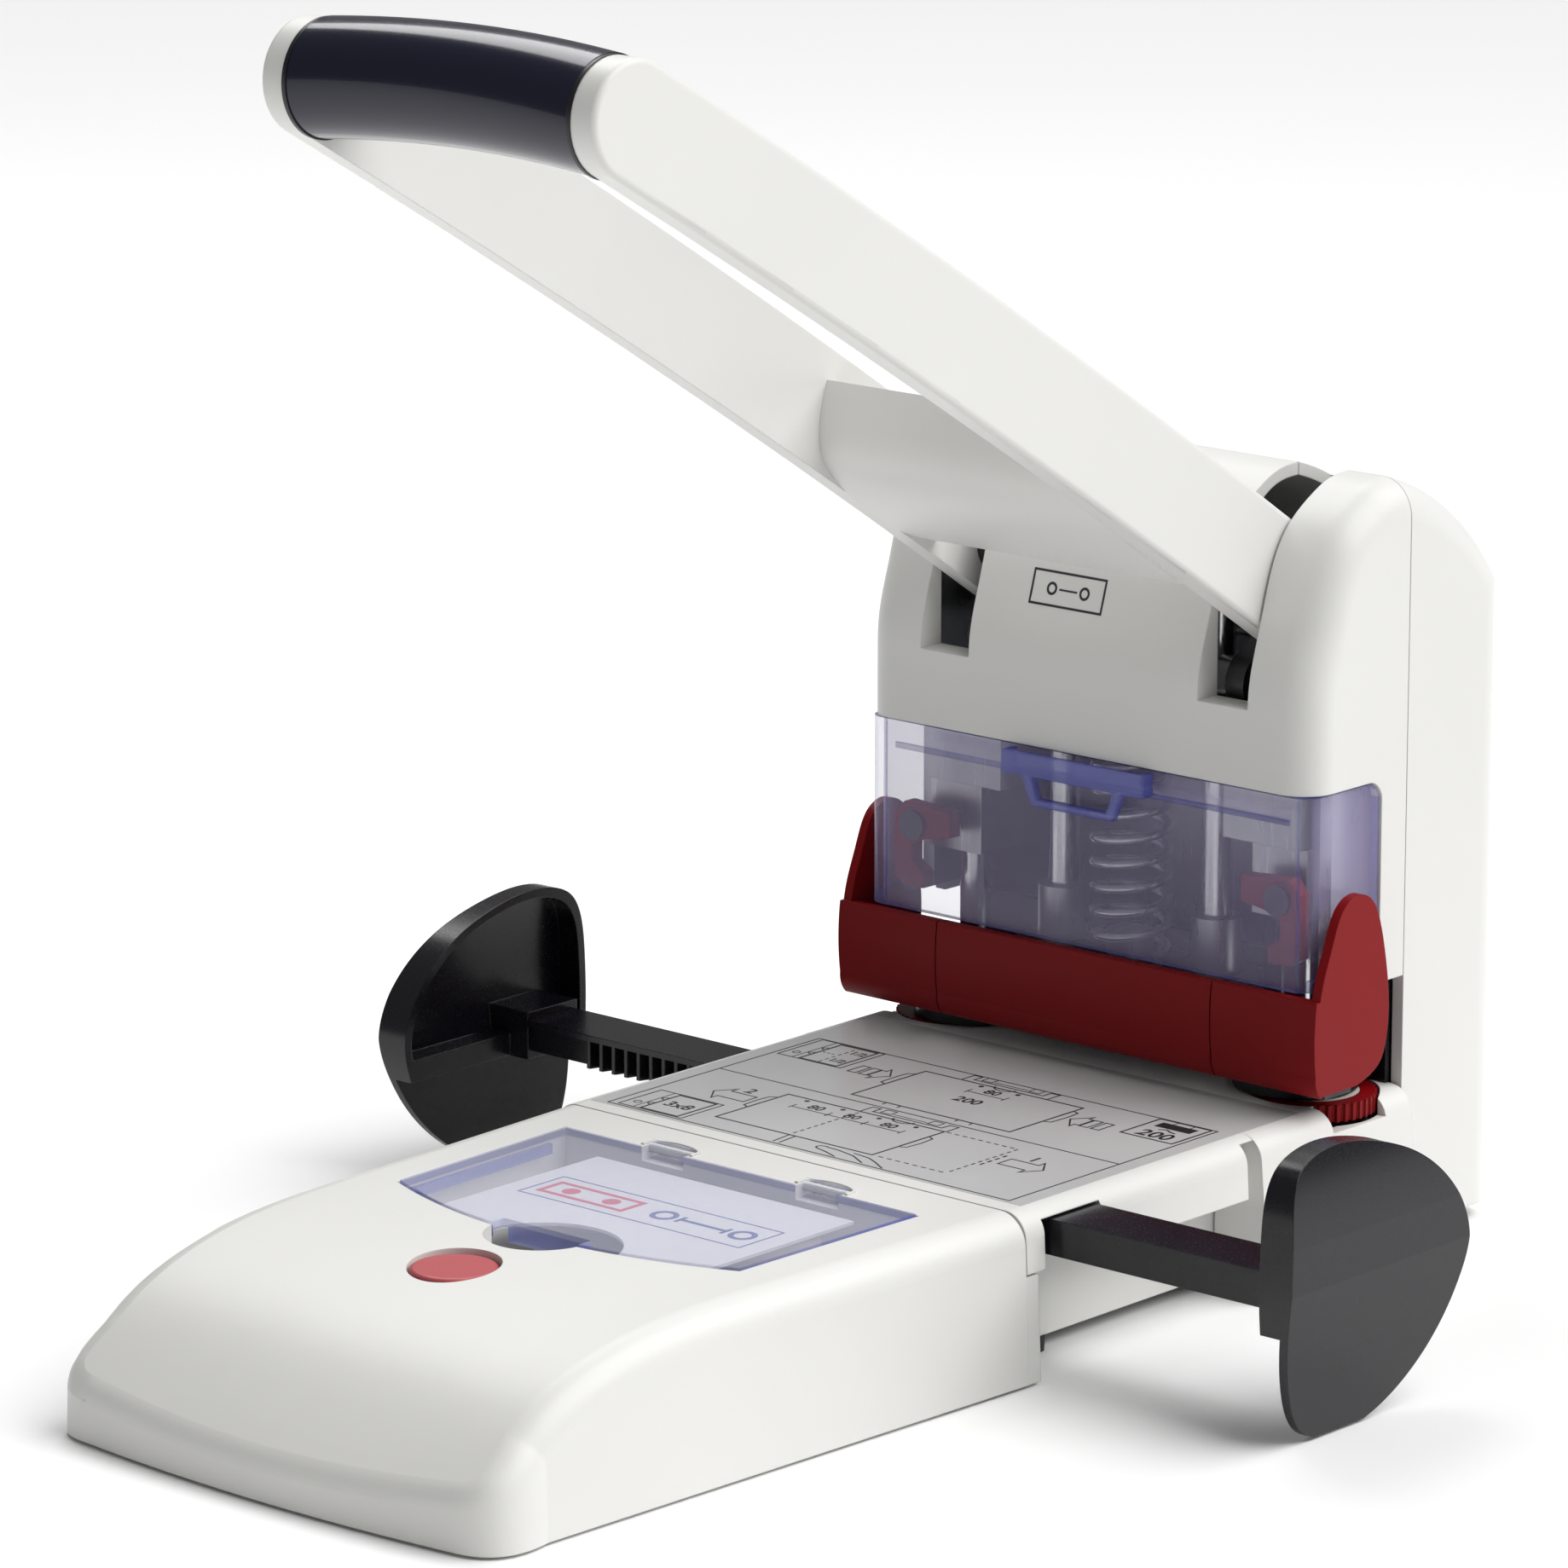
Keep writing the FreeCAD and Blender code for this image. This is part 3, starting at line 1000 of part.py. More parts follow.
# ---- window -------------------------------------------------------------
def window_parts():
    half, y0 = WINDOW_HALF, WINDOW_Y0
    outer = box(-half, half, y0, STRIP_FRONT_Y - 0.3, WINDOW_Z0, WINDOW_Z1)
    corner = edges_where(outer, lambda e: all_points(e, lambda p: abs(p.y - y0) < 0.01)
                         and e.BoundBox.ZLength > 10)
    outer = outer.makeFillet(4.0, corner)
    inner = box(-half + WINDOW_T, half - WINDOW_T, y0 + WINDOW_T, 120, 0, 200)
    corner = edges_where(inner, lambda e: all_points(e, lambda p: abs(p.y - y0 - WINDOW_T) < 0.01)
                         and e.BoundBox.ZLength > 10)
    inner = inner.makeFillet(4.0 - WINDOW_T, corner)
    rear, r = STRIP_FRONT_Y - 0.3, WINDOW_CORNER_R
    corner = cut(box(-80, 80, rear - r, rear + 1, WINDOW_Z1 - r, WINDOW_Z1 + 1),
                 cross_rod(r, -90, 90, rear - r, WINDOW_Z1 - r))
    arm_room = box(WINDOW_HALF - 5, WINDOW_HALF + 5, ARM_FRONT_Y - 0.5, ARM_FRONT_Y + 8.5,
                   WINDOW_Z0 - 5, PLATE_Z1 + CLAMP_LIFT + 0.5)
    pane = cut(outer, inner, corner, *both_sides(arm_room))
    ledge = box(-half + 6, half - 6, y0 + WINDOW_T - 0.1, y0 + WINDOW_T + 0.4, 86.6, 87.8)
    pane = fuse(pane, ledge)
    tub = box(-17.5, 17.5, y0 - 3.4, y0, 87.6, WINDOW_Z1 - 0.4)
    tub = cut(tub, box(-15.9, 15.9, y0 - 2.0, y0 + 1, 89.0, 100))
    loop = front_prism([(-12.5, 88.0), (12.5, 88.0), (10.0, 82.0), (-10.0, 82.0)], y0 - 3.4, y0 - 1.6)
    loop = cut(loop, front_prism([(-10.2, 88.1), (10.2, 88.1), (8.4, 83.6), (-8.4, 83.6)],
                                 y0 - 5, y0))
    return {"window": solid_of(pane), "window_latch": solid_of(fuse(tub, loop))}


def all_parts():
    parts = {}
    for group in (nose_parts, lid_parts, storage_parts, button_parts, tray_parts, middle_parts,
                  chassis_parts, guide_parts, tower_parts, frame_parts, wheel_parts,
                  carriage_parts, lever_parts, clamp_parts, window_parts):
        parts.update(group())
    return parts


def main():
    os.makedirs("parts", exist_ok=True)
    for name, shape in sorted(all_parts().items()):
        if not shape.isValid():
            raise ValueError(name + " is not a valid solid")
        shape.exportStep("parts/%s.step" % name)
        print("%-22s %d solid(s) %9.1f mm3" % (name, len(shape.Solids), shape.Volume))


if __name__ == "__main__":
    main()
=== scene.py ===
import math

import bmesh
import bpy
from bpy.props import (
    FloatProperty,
    FloatVectorProperty,
    PointerProperty,
)
from bpy.types import Operator, Panel, PropertyGroup
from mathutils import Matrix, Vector
from mathutils.bvhtree import BVHTree


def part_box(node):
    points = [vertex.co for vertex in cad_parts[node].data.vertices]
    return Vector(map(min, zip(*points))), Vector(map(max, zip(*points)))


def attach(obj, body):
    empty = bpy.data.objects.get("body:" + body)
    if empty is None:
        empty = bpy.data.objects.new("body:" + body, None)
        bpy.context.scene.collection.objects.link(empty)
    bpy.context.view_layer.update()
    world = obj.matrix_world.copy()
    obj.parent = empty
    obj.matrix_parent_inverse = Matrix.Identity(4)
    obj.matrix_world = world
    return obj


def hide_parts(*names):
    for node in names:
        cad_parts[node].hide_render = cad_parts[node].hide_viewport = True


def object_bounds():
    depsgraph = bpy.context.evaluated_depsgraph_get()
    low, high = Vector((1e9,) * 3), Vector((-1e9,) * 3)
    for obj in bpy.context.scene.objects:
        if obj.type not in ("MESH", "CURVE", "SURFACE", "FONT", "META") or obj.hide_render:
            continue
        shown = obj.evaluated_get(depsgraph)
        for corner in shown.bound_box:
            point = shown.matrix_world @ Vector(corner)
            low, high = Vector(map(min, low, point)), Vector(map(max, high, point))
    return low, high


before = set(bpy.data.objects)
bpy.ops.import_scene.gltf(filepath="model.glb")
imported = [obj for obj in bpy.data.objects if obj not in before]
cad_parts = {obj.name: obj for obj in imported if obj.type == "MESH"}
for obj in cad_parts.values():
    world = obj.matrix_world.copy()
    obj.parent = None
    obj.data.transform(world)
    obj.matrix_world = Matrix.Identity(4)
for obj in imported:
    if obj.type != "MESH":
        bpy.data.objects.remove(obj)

bl_info = {
    "name": "Two-Hole Punch Finish",
    "version": (1, 0, 0),
    "blender": (4, 5, 0),
    "location": "3D View > Sidebar > Hole Punch",
    "description": "Finishes, prints and stage for a heavy-duty two-hole punch",
    "category": "Object",
}

CAD_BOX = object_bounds()
MM = 0.001
FLOOR_RADIUS = 9.0
TO_WINDOW = (0.52, 0.34, 0.78)   # towards the high window: right, behind and above
KNUCKLE_X = 19.0 * MM            # the lid's hinge knuckles, either side of the middle


# ---- sizes and colours -------------------------------------------------
class PunchFinishes(PropertyGroup):
    cover: FloatVectorProperty(
        name="Cover", description="Off-white of the moulded covers and the lever",
        subtype="COLOR", min=0.0, max=1.0, default=(0.755, 0.750, 0.725))
    clamp: FloatVectorProperty(
        name="Clamp", description="Red of the clamp bar, wheels and release tabs",
        subtype="COLOR", min=0.0, max=1.0, default=(0.23, 0.002, 0.004))
    grip: FloatVectorProperty(
        name="Grip", description="Midnight blue of the grip sleeve",
        subtype="COLOR", min=0.0, max=1.0, default=(0.003, 0.0035, 0.020))
    guide: FloatVectorProperty(
        name="Guides", description="Black of the paper guides and their racks",
        subtype="COLOR", min=0.0, max=1.0, default=(0.005, 0.005, 0.008))
    window: FloatVectorProperty(
        name="Window", description="Tint of the clear window over the punches",
        subtype="COLOR", min=0.0, max=1.0, default=(0.60, 0.54, 0.86))
    lid: FloatVectorProperty(
        name="Lid", description="Tint of the clear storage lid",
        subtype="COLOR", min=0.0, max=1.0, default=(0.66, 0.68, 0.86))
    window_edge: FloatVectorProperty(
        name="Window edge", description="Blue that gathers in the clear parts' edges",
        subtype="COLOR", min=0.0, max=1.0, default=(0.07, 0.08, 0.48))
    latch: FloatVectorProperty(
        name="Latch", description="Blue of the window's clear latch",
        subtype="COLOR", min=0.0, max=1.0, default=(0.13, 0.15, 0.58))
    lid_edge: FloatVectorProperty(
        name="Lid edge", description="Blue that gathers in the storage lid's rim",
        subtype="COLOR", min=0.0, max=1.0, default=(0.17, 0.20, 0.62))
    card: FloatVectorProperty(
        name="Card", description="Pale card that lies under the storage lid",
        subtype="COLOR", min=0.0, max=1.0, default=(0.70, 0.70, 0.71))
    button: FloatVectorProperty(
        name="Button", description="Faded red of the round button",
        subtype="COLOR", min=0.0, max=1.0, default=(0.48, 0.085, 0.095))
    # label: the film's silver-grey is set darker than the film's own colour, a painted reflection of the
    # dark clamp bar and window on the deck
    label: FloatVectorProperty(
        name="Label", description="Silver-grey film of the deck label",
        subtype="COLOR", min=0.0, max=1.0, default=(0.59, 0.59, 0.59))
    grain: FloatProperty(
        name="Grain", description="Size of the spark grain in the moulded plastics",
        subtype="DISTANCE", unit="LENGTH", min=0.0001, max=0.002, default=0.00035)
    edge_radius: FloatProperty(
        name="Edge radius", description="Softening of the moulded edges",
        subtype="DISTANCE", unit="LENGTH", min=0.0, max=0.002, default=0.00035)


class PunchPrint(PropertyGroup):
    line: FloatProperty(
        name="Line", description="Width of a printed line on the deck label",
        subtype="DISTANCE", unit="LENGTH", min=0.0001, max=0.002, default=0.00034)
    ink: FloatProperty(
        name="Ink", description="How far the print stands above its film",
        subtype="DISTANCE", unit="LENGTH", min=0.00001, max=0.0002, default=0.00003)
    dash: FloatProperty(
        name="Dash", description="Length of one dash of a broken line",
        subtype="DISTANCE", unit="LENGTH", min=0.0002, max=0.003, default=0.0010)


class PunchStage(PropertyGroup):
    azimuth: FloatProperty(
        name="Azimuth", description="Camera angle round the punch from the front",
        subtype="ANGLE", unit="ROTATION", default=math.radians(41.59))
    elevation: FloatProperty(
        name="Elevation", description="Camera angle above the table",
        subtype="ANGLE", unit="ROTATION", default=math.radians(13.523))
    distance: FloatProperty(
        name="Distance", description="Camera distance from the aim",
        subtype="DISTANCE", unit="LENGTH", default=1.4485)
    aim: FloatVectorProperty(
        name="Aim", description="What the camera looks at, from the middle of the punch",
        subtype="TRANSLATION", unit="LENGTH", default=(0.0015, -0.0057, -0.0219))
    lens: FloatProperty(
        name="Lens", description="Focal length in millimetres on a 36 mm sensor",
        unit="CAMERA", min=10.0, max=400.0, default=182.93)
    room: FloatProperty(
        name="Room", description="Strength of the white room round the punch",
        min=0.0, max=4.0, default=0.20)
    key: FloatProperty(
        name="Key", description="Strength of the high window to the right and behind",
        min=0.0, max=10.0, default=3.1)


# ---- shader helpers ----------------------------------------------------
def new_finish(name):
    """A material with one Principled shader, and what is needed to wire it."""
    material = bpy.data.materials.new(name)
    material.use_nodes = True
    tree = material.node_tree
    shader = next(n for n in tree.nodes if n.type == "BSDF_PRINCIPLED")
    return material, tree, shader


def place(tree):
    """Coordinates in metres on the piece itself."""
    return tree.nodes.new("ShaderNodeTexCoord").outputs["Object"]


def noise(tree, scale, detail=2.0, stretch=(1, 1, 1)):
    spread = tree.nodes.new("ShaderNodeMapping")
    spread.inputs["Scale"].default_value = stretch
    tree.links.new(place(tree), spread.inputs["Vector"])
    texture = tree.nodes.new("ShaderNodeTexNoise")
    texture.inputs["Scale"].default_value = scale
    texture.inputs["Detail"].default_value = detail
    tree.links.new(spread.outputs["Vector"], texture.inputs["Vector"])
    return texture.outputs["Fac"]


def between(tree, factor, low, high):
    """A number that runs from low to high with the factor."""
    ranged = tree.nodes.new("ShaderNodeMapRange")
    ranged.inputs["From Min"].default_value = 0.3
    ranged.inputs["From Max"].default_value = 0.7
    ranged.inputs["To Min"].default_value = low
    ranged.inputs["To Max"].default_value = high
    tree.links.new(factor, ranged.inputs["Value"])
    return ranged.outputs["Result"]


def shades(tree, factor, dark, light, start=0.3, end=0.7):
    """A colour that runs from dark to light with the factor."""
    ramp = tree.nodes.new("ShaderNodeValToRGB")
    ramp.color_ramp.elements[0].position = start
    ramp.color_ramp.elements[1].position = end
    ramp.color_ramp.elements[0].color = (*dark, 1.0)
    ramp.color_ramp.elements[1].color = (*light, 1.0)
    tree.links.new(factor, ramp.inputs["Fac"])
    return ramp.outputs["Color"]


def dimmed(color, amount):
    return tuple(c * amount for c in color)


def bump(tree, shader, height, strength, depth, edge=0.0):
    """Surface relief over softened edges."""
    relief = tree.nodes.new("ShaderNodeBump")
    relief.inputs["Strength"].default_value = strength
    relief.inputs["Distance"].default_value = depth
    tree.links.new(height, relief.inputs["Height"])
    if edge:
        soft = tree.nodes.new("ShaderNodeBevel")
        soft.samples = 4
        soft.inputs["Radius"].default_value = edge
        tree.links.new(soft.outputs["Normal"], relief.inputs["Normal"])
    tree.links.new(relief.outputs["Normal"], shader.inputs["Normal"])


def moulded(name, color, rough, finishes, relief=0.12, coat=0.0, tone=0.96, gloss=0.5):
    """Injection-moulded plastic: fine spark grain, faint flow marks."""
    material, tree, shader = new_finish(name)
    flow = noise(tree, 14.0, 3.0)
    tree.links.new(shades(tree, flow, dimmed(color, tone), color), shader.inputs["Base Color"])
    fine = noise(tree, 1.0 / finishes.grain, 2.0)
    tree.links.new(between(tree, fine, rough - 0.05, rough + 0.06), shader.inputs["Roughness"])
    shader.inputs["IOR"].default_value = 1.5
    shader.inputs["Specular IOR Level"].default_value = gloss
    if coat:
        shader.inputs["Coat Weight"].default_value = coat
        shader.inputs["Coat Roughness"].default_value = 0.05
    bump(tree, shader, fine, relief, 0.00004, finishes.edge_radius)
    return material


def metal(name, color, rough, brush, relief=0.1, edge=0.0002):
    """Worked steel: drawn or rolled marks along one way."""
    material, tree, shader = new_finish(name)
    marks = noise(tree, 1500.0, 3.0, brush)
    cloud = noise(tree, 60.0, 3.0)
    tree.links.new(shades(tree, cloud, dimmed(color, 0.82), color), shader.inputs["Base Color"])
    tree.links.new(between(tree, marks, rough * 0.75, rough * 1.3), shader.inputs["Roughness"])
    shader.inputs["Metallic"].default_value = 1.0
    bump(tree, shader, marks, relief, 0.00003, edge)
    return material


def clear_plastic(name, tint, facing_alpha, rim_alpha, rough=0.05):
    """Clear moulding: thin in the middle, deeper at glancing angles."""
    material, tree, shader = new_finish(name)
    smears = noise(tree, 40.0, 3.0)
    tree.links.new(between(tree, smears, rough * 0.7, rough * 1.8), shader.inputs["Roughness"])
    tree.links.new(shades(tree, smears, dimmed(tint, 0.92), tint), shader.inputs["Base Color"])
    shader.inputs["IOR"].default_value = 1.49
    shader.inputs["Specular IOR Level"].default_value = 0.8
    view = tree.nodes.new("ShaderNodeLayerWeight")
    view.inputs["Blend"].default_value = 0.35
    body = tree.nodes.new("ShaderNodeMapRange")
    body.inputs["To Min"].default_value = facing_alpha
    body.inputs["To Max"].default_value = rim_alpha
    tree.links.new(view.outputs["Facing"], body.inputs["Value"])
    tree.links.new(body.outputs["Result"], shader.inputs["Alpha"])
    ripple = noise(tree, 90.0, 1.0)
    bump(tree, shader, ripple, 0.15, 0.0002)
    return material


def paper(name, color, rough=0.75):
    material, tree, shader = new_finish(name)
    fibre = noise(tree, 900.0, 4.0, (1.0, 0.35, 1.0))
    tree.links.new(shades(tree, fibre, dimmed(color, 0.94), color), shader.inputs["Base Color"])
    tree.links.new(between(tree, fibre, rough - 0.05, rough + 0.08), shader.inputs["Roughness"])
    bump(tree, shader, fibre, 0.2, 0.00003)
    return material


def ink(name, color):
    """Printing ink with a slight mottle."""
    material, tree, shader = new_finish(name)
    mottle = noise(tree, 700.0, 2.0)
    tree.links.new(shades(tree, mottle, color, dimmed(color, 1.35)), shader.inputs["Base Color"])
    tree.links.new(between(tree, mottle, 0.42, 0.58), shader.inputs["Roughness"])
    return material


def paint(finish, *names):
    """Gives CAD pieces their finish."""
    for name in names:
        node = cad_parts[name]
        for place_in in node.material_slots:
            place_in.material = finish


# ---- mesh helpers ------------------------------------------------------
def add_piece(name, bm, body, slot_name, *finishes, angle=40.0):
    """Makes a piece of a finished mesh and ties it to its body."""
    bmesh.ops.recalc_face_normals(bm, faces=bm.faces)
    mesh = bpy.data.meshes.new(name)
    bm.to_mesh(mesh)
    bm.free()
    for finish in finishes:
        mesh.materials.append(finish)
    for face in mesh.polygons:
        face.use_smooth = True
    mesh.set_sharp_from_angle(angle=math.radians(angle))
    piece = bpy.data.objects.new(name, mesh)
    bpy.context.scene.collection.objects.link(piece)
    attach(piece, body)
    return piece


def ribbon(bm, points, width, seat, closed=False):
    """A printed line with mitred corners. seat turns flat points into places."""
    count = len(points)
    flat = [Vector(p) for p in points]
    sides = []
    for i, here in enumerate(flat):
        before = flat[i - 1] if closed or i > 0 else here
        after = flat[(i + 1) % count] if closed or i < count - 1 else here
        into = (here - before).normalized() if here != before else None
        out = (after - here).normalized() if after != here else None
        along = ((into or out) + (out or into)).normalized()
        across = Vector((-along.y, along.x))
        lead = into or out
        reach = 0.5 * width / max(0.35, abs(across.dot(Vector((-lead.y, lead.x)))))
        sides.append((here + across * reach, here - across * reach))
    rings = [[bm.verts.new(seat(p.x, p.y, up)) for p, up in
              ((a, 1), (b, 1), (b, 0), (a, 0))] for a, b in sides]
    spans = range(count) if closed else range(count - 1)
    for i in spans:
        one, two = rings[i], rings[(i + 1) % count]
        for k in range(4):
            bm.faces.new((one[k], one[(k + 1) % 4], two[(k + 1) % 4], two[k]))
    if not closed:
        bm.faces.new(rings[0])
        bm.faces.new(rings[-1])


def outline(x0, x1, y0, y1):
    return [(x0, y0), (x1, y0), (x1, y1), (x0, y1)]


def broken(bm, start, end, width, dash, seat):
    """A dashed line."""
    start, end = Vector(start), Vector(end)
    length = (end - start).length
    count = max(2, round(length / (2 * dash)))
    step = (end - start) / count
    for i in range(count):
        a = start + step * i
        ribbon(bm, [a, a + step * 0.55], width, seat)


def disc(bm, x, y, radius, seat, sides=20):
    """A solid printed dot."""
    ring = [(x + radius * math.cos(t), y + radius * math.sin(t)) for t in
            (2 * math.pi * i / sides for i in range(sides))]
    top = [bm.verts.new(seat(a, b, 1)) for a, b in ring]
    low = [bm.verts.new(seat(a, b, 0)) for a, b in ring]
    bm.faces.new(top)
    bm.faces.new(low[::-1])
    for i in range(sides):
        k = (i + 1) % sides
        bm.faces.new((top[i], low[i], low[k], top[k]))


def slab(bm, x0, x1, y0, y1, seat):
    """A solid printed block."""
    corners = outline(x0, x1, y0, y1)
    top = [bm.verts.new(seat(a, b, 1)) for a, b in corners]
    low = [bm.verts.new(seat(a, b, 0)) for a, b in corners]
    bm.faces.new(top)
    bm.faces.new(low[::-1])
    for i in range(4):
        k = (i + 1) % 4
        bm.faces.new((top[i], low[i], low[k], top[k]))


def arc(x, y, rx, ry, start, end, steps=12):
    return [(x + rx * math.cos(math.radians(start + (end - start) * i / steps)),
             y + ry * math.sin(math.radians(start + (end - start) * i / steps)))
            for i in range(steps + 1)]


def figures(bm, text, x, y, size, seat):
    """Printed figures, centred on x and y."""
    words = bpy.data.curves.new("figures", "FONT")
    words.body = text
    words.size = 1.0
    words.align_x = "CENTER"
    words.align_y = "CENTER"
    words.offset = 0.02
    words.resolution_u = 3
    holder = bpy.data.objects.new("figures", words)
    bpy.context.scene.collection.objects.link(holder)
    bpy.context.view_layer.update()
    mesh = bpy.data.meshes.new_from_object(holder)
    flat = bmesh.new()
    flat.from_mesh(mesh)
    bmesh.ops.remove_doubles(flat, verts=flat.verts, dist=1e-5)
    top, low = {}, {}
    for v in flat.verts:
        a, b = x + v.co.x * size, y + v.co.y * size
        top[v.index] = bm.verts.new(seat(a, b, 1))
        low[v.index] = bm.verts.new(seat(a, b, 0))
    for f in flat.faces:
        bm.faces.new([top[v.index] for v in f.verts])
        bm.faces.new([low[v.index] for v in reversed(f.verts)])
    for e in flat.edges:
        if len(e.link_faces) == 1:
            a, b = e.verts[0].index, e.verts[1].index
            bm.faces.new((top[a], top[b], low[b], low[a]))
    flat.free()
    bpy.data.objects.remove(holder)
    bpy.data.meshes.remove(mesh)
    bpy.data.curves.remove(words)


def welded(node):
    """An editable copy of a CAD piece with its flat faces whole again."""
    bm = bmesh.new()
    bm.from_mesh(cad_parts[node].data)
    bmesh.ops.remove_doubles(bm, verts=bm.verts, dist=2e-6)
    bmesh.ops.dissolve_limit(
        bm, angle_limit=math.radians(0.6), verts=bm.verts, edges=bm.edges, use_dissolve_boundaries=False)
    return bm


def clear_part(node, name, body, slot_name, pane, edge, is_edge, soft=0.0):
    """A clear moulding whose edge faces gather the blue."""
    bm = welded(node)
    bm.normal_update()
    for face in bm.faces:
        face.material_index = 1 if is_edge(face) else 0
    piece = add_piece(name, bm, body, slot_name, pane, edge)
    if soft:
        bevel = piece.modifiers.new("soft edges", "BEVEL")
        bevel.width = soft
        bevel.segments = 2
        bevel.limit_method = "ANGLE"
        bevel.angle_limit = math.radians(50)
        piece.modifiers.new("even light", "WEIGHTED_NORMAL").keep_sharp = True
    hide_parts(node)
    return piece


def narrow_end(face):
    """Top, bottom and rear ends of an upright pane."""
    return abs(face.normal.z) > 0.7 or face.normal.y > 0.95 and face.calc_area() < 1e-4


def pane_blue(face):
    """The ends of the upright pane and the thin ledge across its back."""
    ledge_low, ledge_high = 86.4 * MM, 88.0 * MM
    on_ledge = ledge_low < face.calc_center_median().z < ledge_high
    return narrow_end(face) or on_ledge and face.calc_area() < 1.5e-4


def narrow_rim(face):
    """The upright rim of the lid, but not its hinge knuckles."""
    knuckles = face.calc_center_median().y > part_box("storage_lid")[1].y - 4.2 * MM
    return abs(face.normal.z) < 0.5 and not knuckles


# ---- the pieces --------------------------------------------------------
class PUNCH_OT_covers(Operator):
    """Finishes the off-white covers of the tower, deck and drawer"""

    bl_idname = "punch.covers"
    bl_label = "Covers"

    def execute(self, context):
        look = context.scene.punch_finishes
        cover = moulded("cover plastic", look.cover, 0.42, look)
        paint(cover, "tower_front_cover", "tower_rear_cover", "deck_cover",
              "nose_shell", "chassis", "chip_tray")
        return {"FINISHED"}


class PUNCH_OT_lever(Operator):
    """Finishes the forked lever, its web and the grip"""

    bl_idname = "punch.lever"
    bl_label = "Lever and Grip"

    def execute(self, context):
        look = context.scene.punch_finishes
        arm = moulded("lever plastic", look.cover, 0.40, look)
        paint(arm, "lever_arm_left", "lever_arm_right", "lever_web")
        sleeve = moulded("grip sleeve", look.grip, 0.20, look, relief=0.02, coat=0.35, gloss=0.3)
        paint(sleeve, "grip_sleeve")
        paint(moulded("grip rings", look.guide, 0.35, look), "grip_rings")
        return {"FINISHED"}


class PUNCH_OT_clamp(Operator):
    """Finishes the red clamp bar, its ears and the turning wheels"""

    bl_idname = "punch.clamp"
    bl_label = "Clamp Bar and Wheels"

    def execute(self, context):
        look = context.scene.punch_finishes
        red = moulded("clamp plastic", look.clamp, 0.42, look, tone=0.9, gloss=0.16)
        paint(red, "clamp_bar_center", "clamp_ear_left", "clamp_ear_right",
              "cutting_wheel_left", "cutting_wheel_right",
              "punch_release_left", "punch_release_right")
        paint(paper("cutting pad", (0.62, 0.60, 0.54), 0.5),
              "cutting_pad_left", "cutting_pad_right", "spare_discs")
        return {"FINISHED"}


class PUNCH_OT_mechanism(Operator):
    """Finishes the steel frame, carriage, punches, axle and spring"""

    bl_idname = "punch.mechanism"
    bl_label = "Mechanism"

    def execute(self, context):
        rolled = metal("rolled steel", (0.50, 0.51, 0.53), 0.34, (1.0, 0.06, 0.06))
        drawn = metal("drawn steel", (0.72, 0.73, 0.75), 0.20, (0.08, 1.0, 1.0), 0.05, 0.0)
        dark = metal("blackened steel", (0.075, 0.075, 0.08), 0.42, (1.0, 0.3, 1.0))
        bronze = metal("bush bronze", (0.52, 0.33, 0.14), 0.32, (1.0, 1.0, 0.1))
        paint(rolled, "frame_back", "frame_bridge", "frame_sides", "carriage_beam",
              "punch_holders", "clamp_yoke", "drawer_rails", "axle_spacers", "grip_core")
        paint(drawn, "clamp_spring", "button_spring", "guide_columns", "lever_axle",
              "punch_left", "punch_right", "push_rollers", "roller_pins",
              "axle_clips", "cover_screws")
        paint(dark, "lever_plates", "clamp_plate", "release_pins")
        paint(bronze, "column_bushes")
        return {"FINISHED"}


class PUNCH_OT_guides(Operator):
    """Finishes the paper guides, racks, pinion, stop and feet"""

    bl_idname = "punch.guides"
    bl_label = "Paper Guides"

    def execute(self, context):
        look = context.scene.punch_finishes
        black = moulded("guide plastic", look.guide, 0.22, look, relief=0.05, tone=0.8, gloss=0.45)
        paint(black, "guide_paddle_left", "guide_paddle_right", "guide_rack_left",
              "guide_rack_right", "guide_bed", "guide_pinion", "paper_stop", "wheel_seats",
              "clamp_discs")
        foot, tree, shader = new_finish("foot rubber")
        dust = noise(tree, 300.0, 4.0)
        rubber, dusty = (0.012, 0.012, 0.012), (0.03, 0.03, 0.029)
        tree.links.new(shades(tree, dust, rubber, dusty), shader.inputs["Base Color"])
        tree.links.new(between(tree, dust, 0.72, 0.88), shader.inputs["Roughness"])
        bump(tree, shader, dust, 0.25, 0.0001)
        paint(foot, "rubber_feet")
        return {"FINISHED"}


class PUNCH_OT_window(Operator):
    """Makes the clear window over the punches and its latch"""

    bl_idname = "punch.window"
    bl_label = "Window"

    def execute(self, context):
        look = context.scene.punch_finishes
        pane = clear_plastic("window pane", look.window, 0.10, 0.60)
        edge = clear_plastic("window edge", look.window_edge, 0.55, 0.92)
        clear_part("window", "window_pane", "window_door", "clear_plastic", pane, edge, pane_blue)
        tinted = clear_plastic("latch plastic", look.latch, 0.42, 0.88)
        soft = 0.4 * MM
        clear_part("window_latch", "window_catch", "window_door", "clear_blue_plastic",
                   tinted, edge, narrow_end, soft)
        return {"FINISHED"}


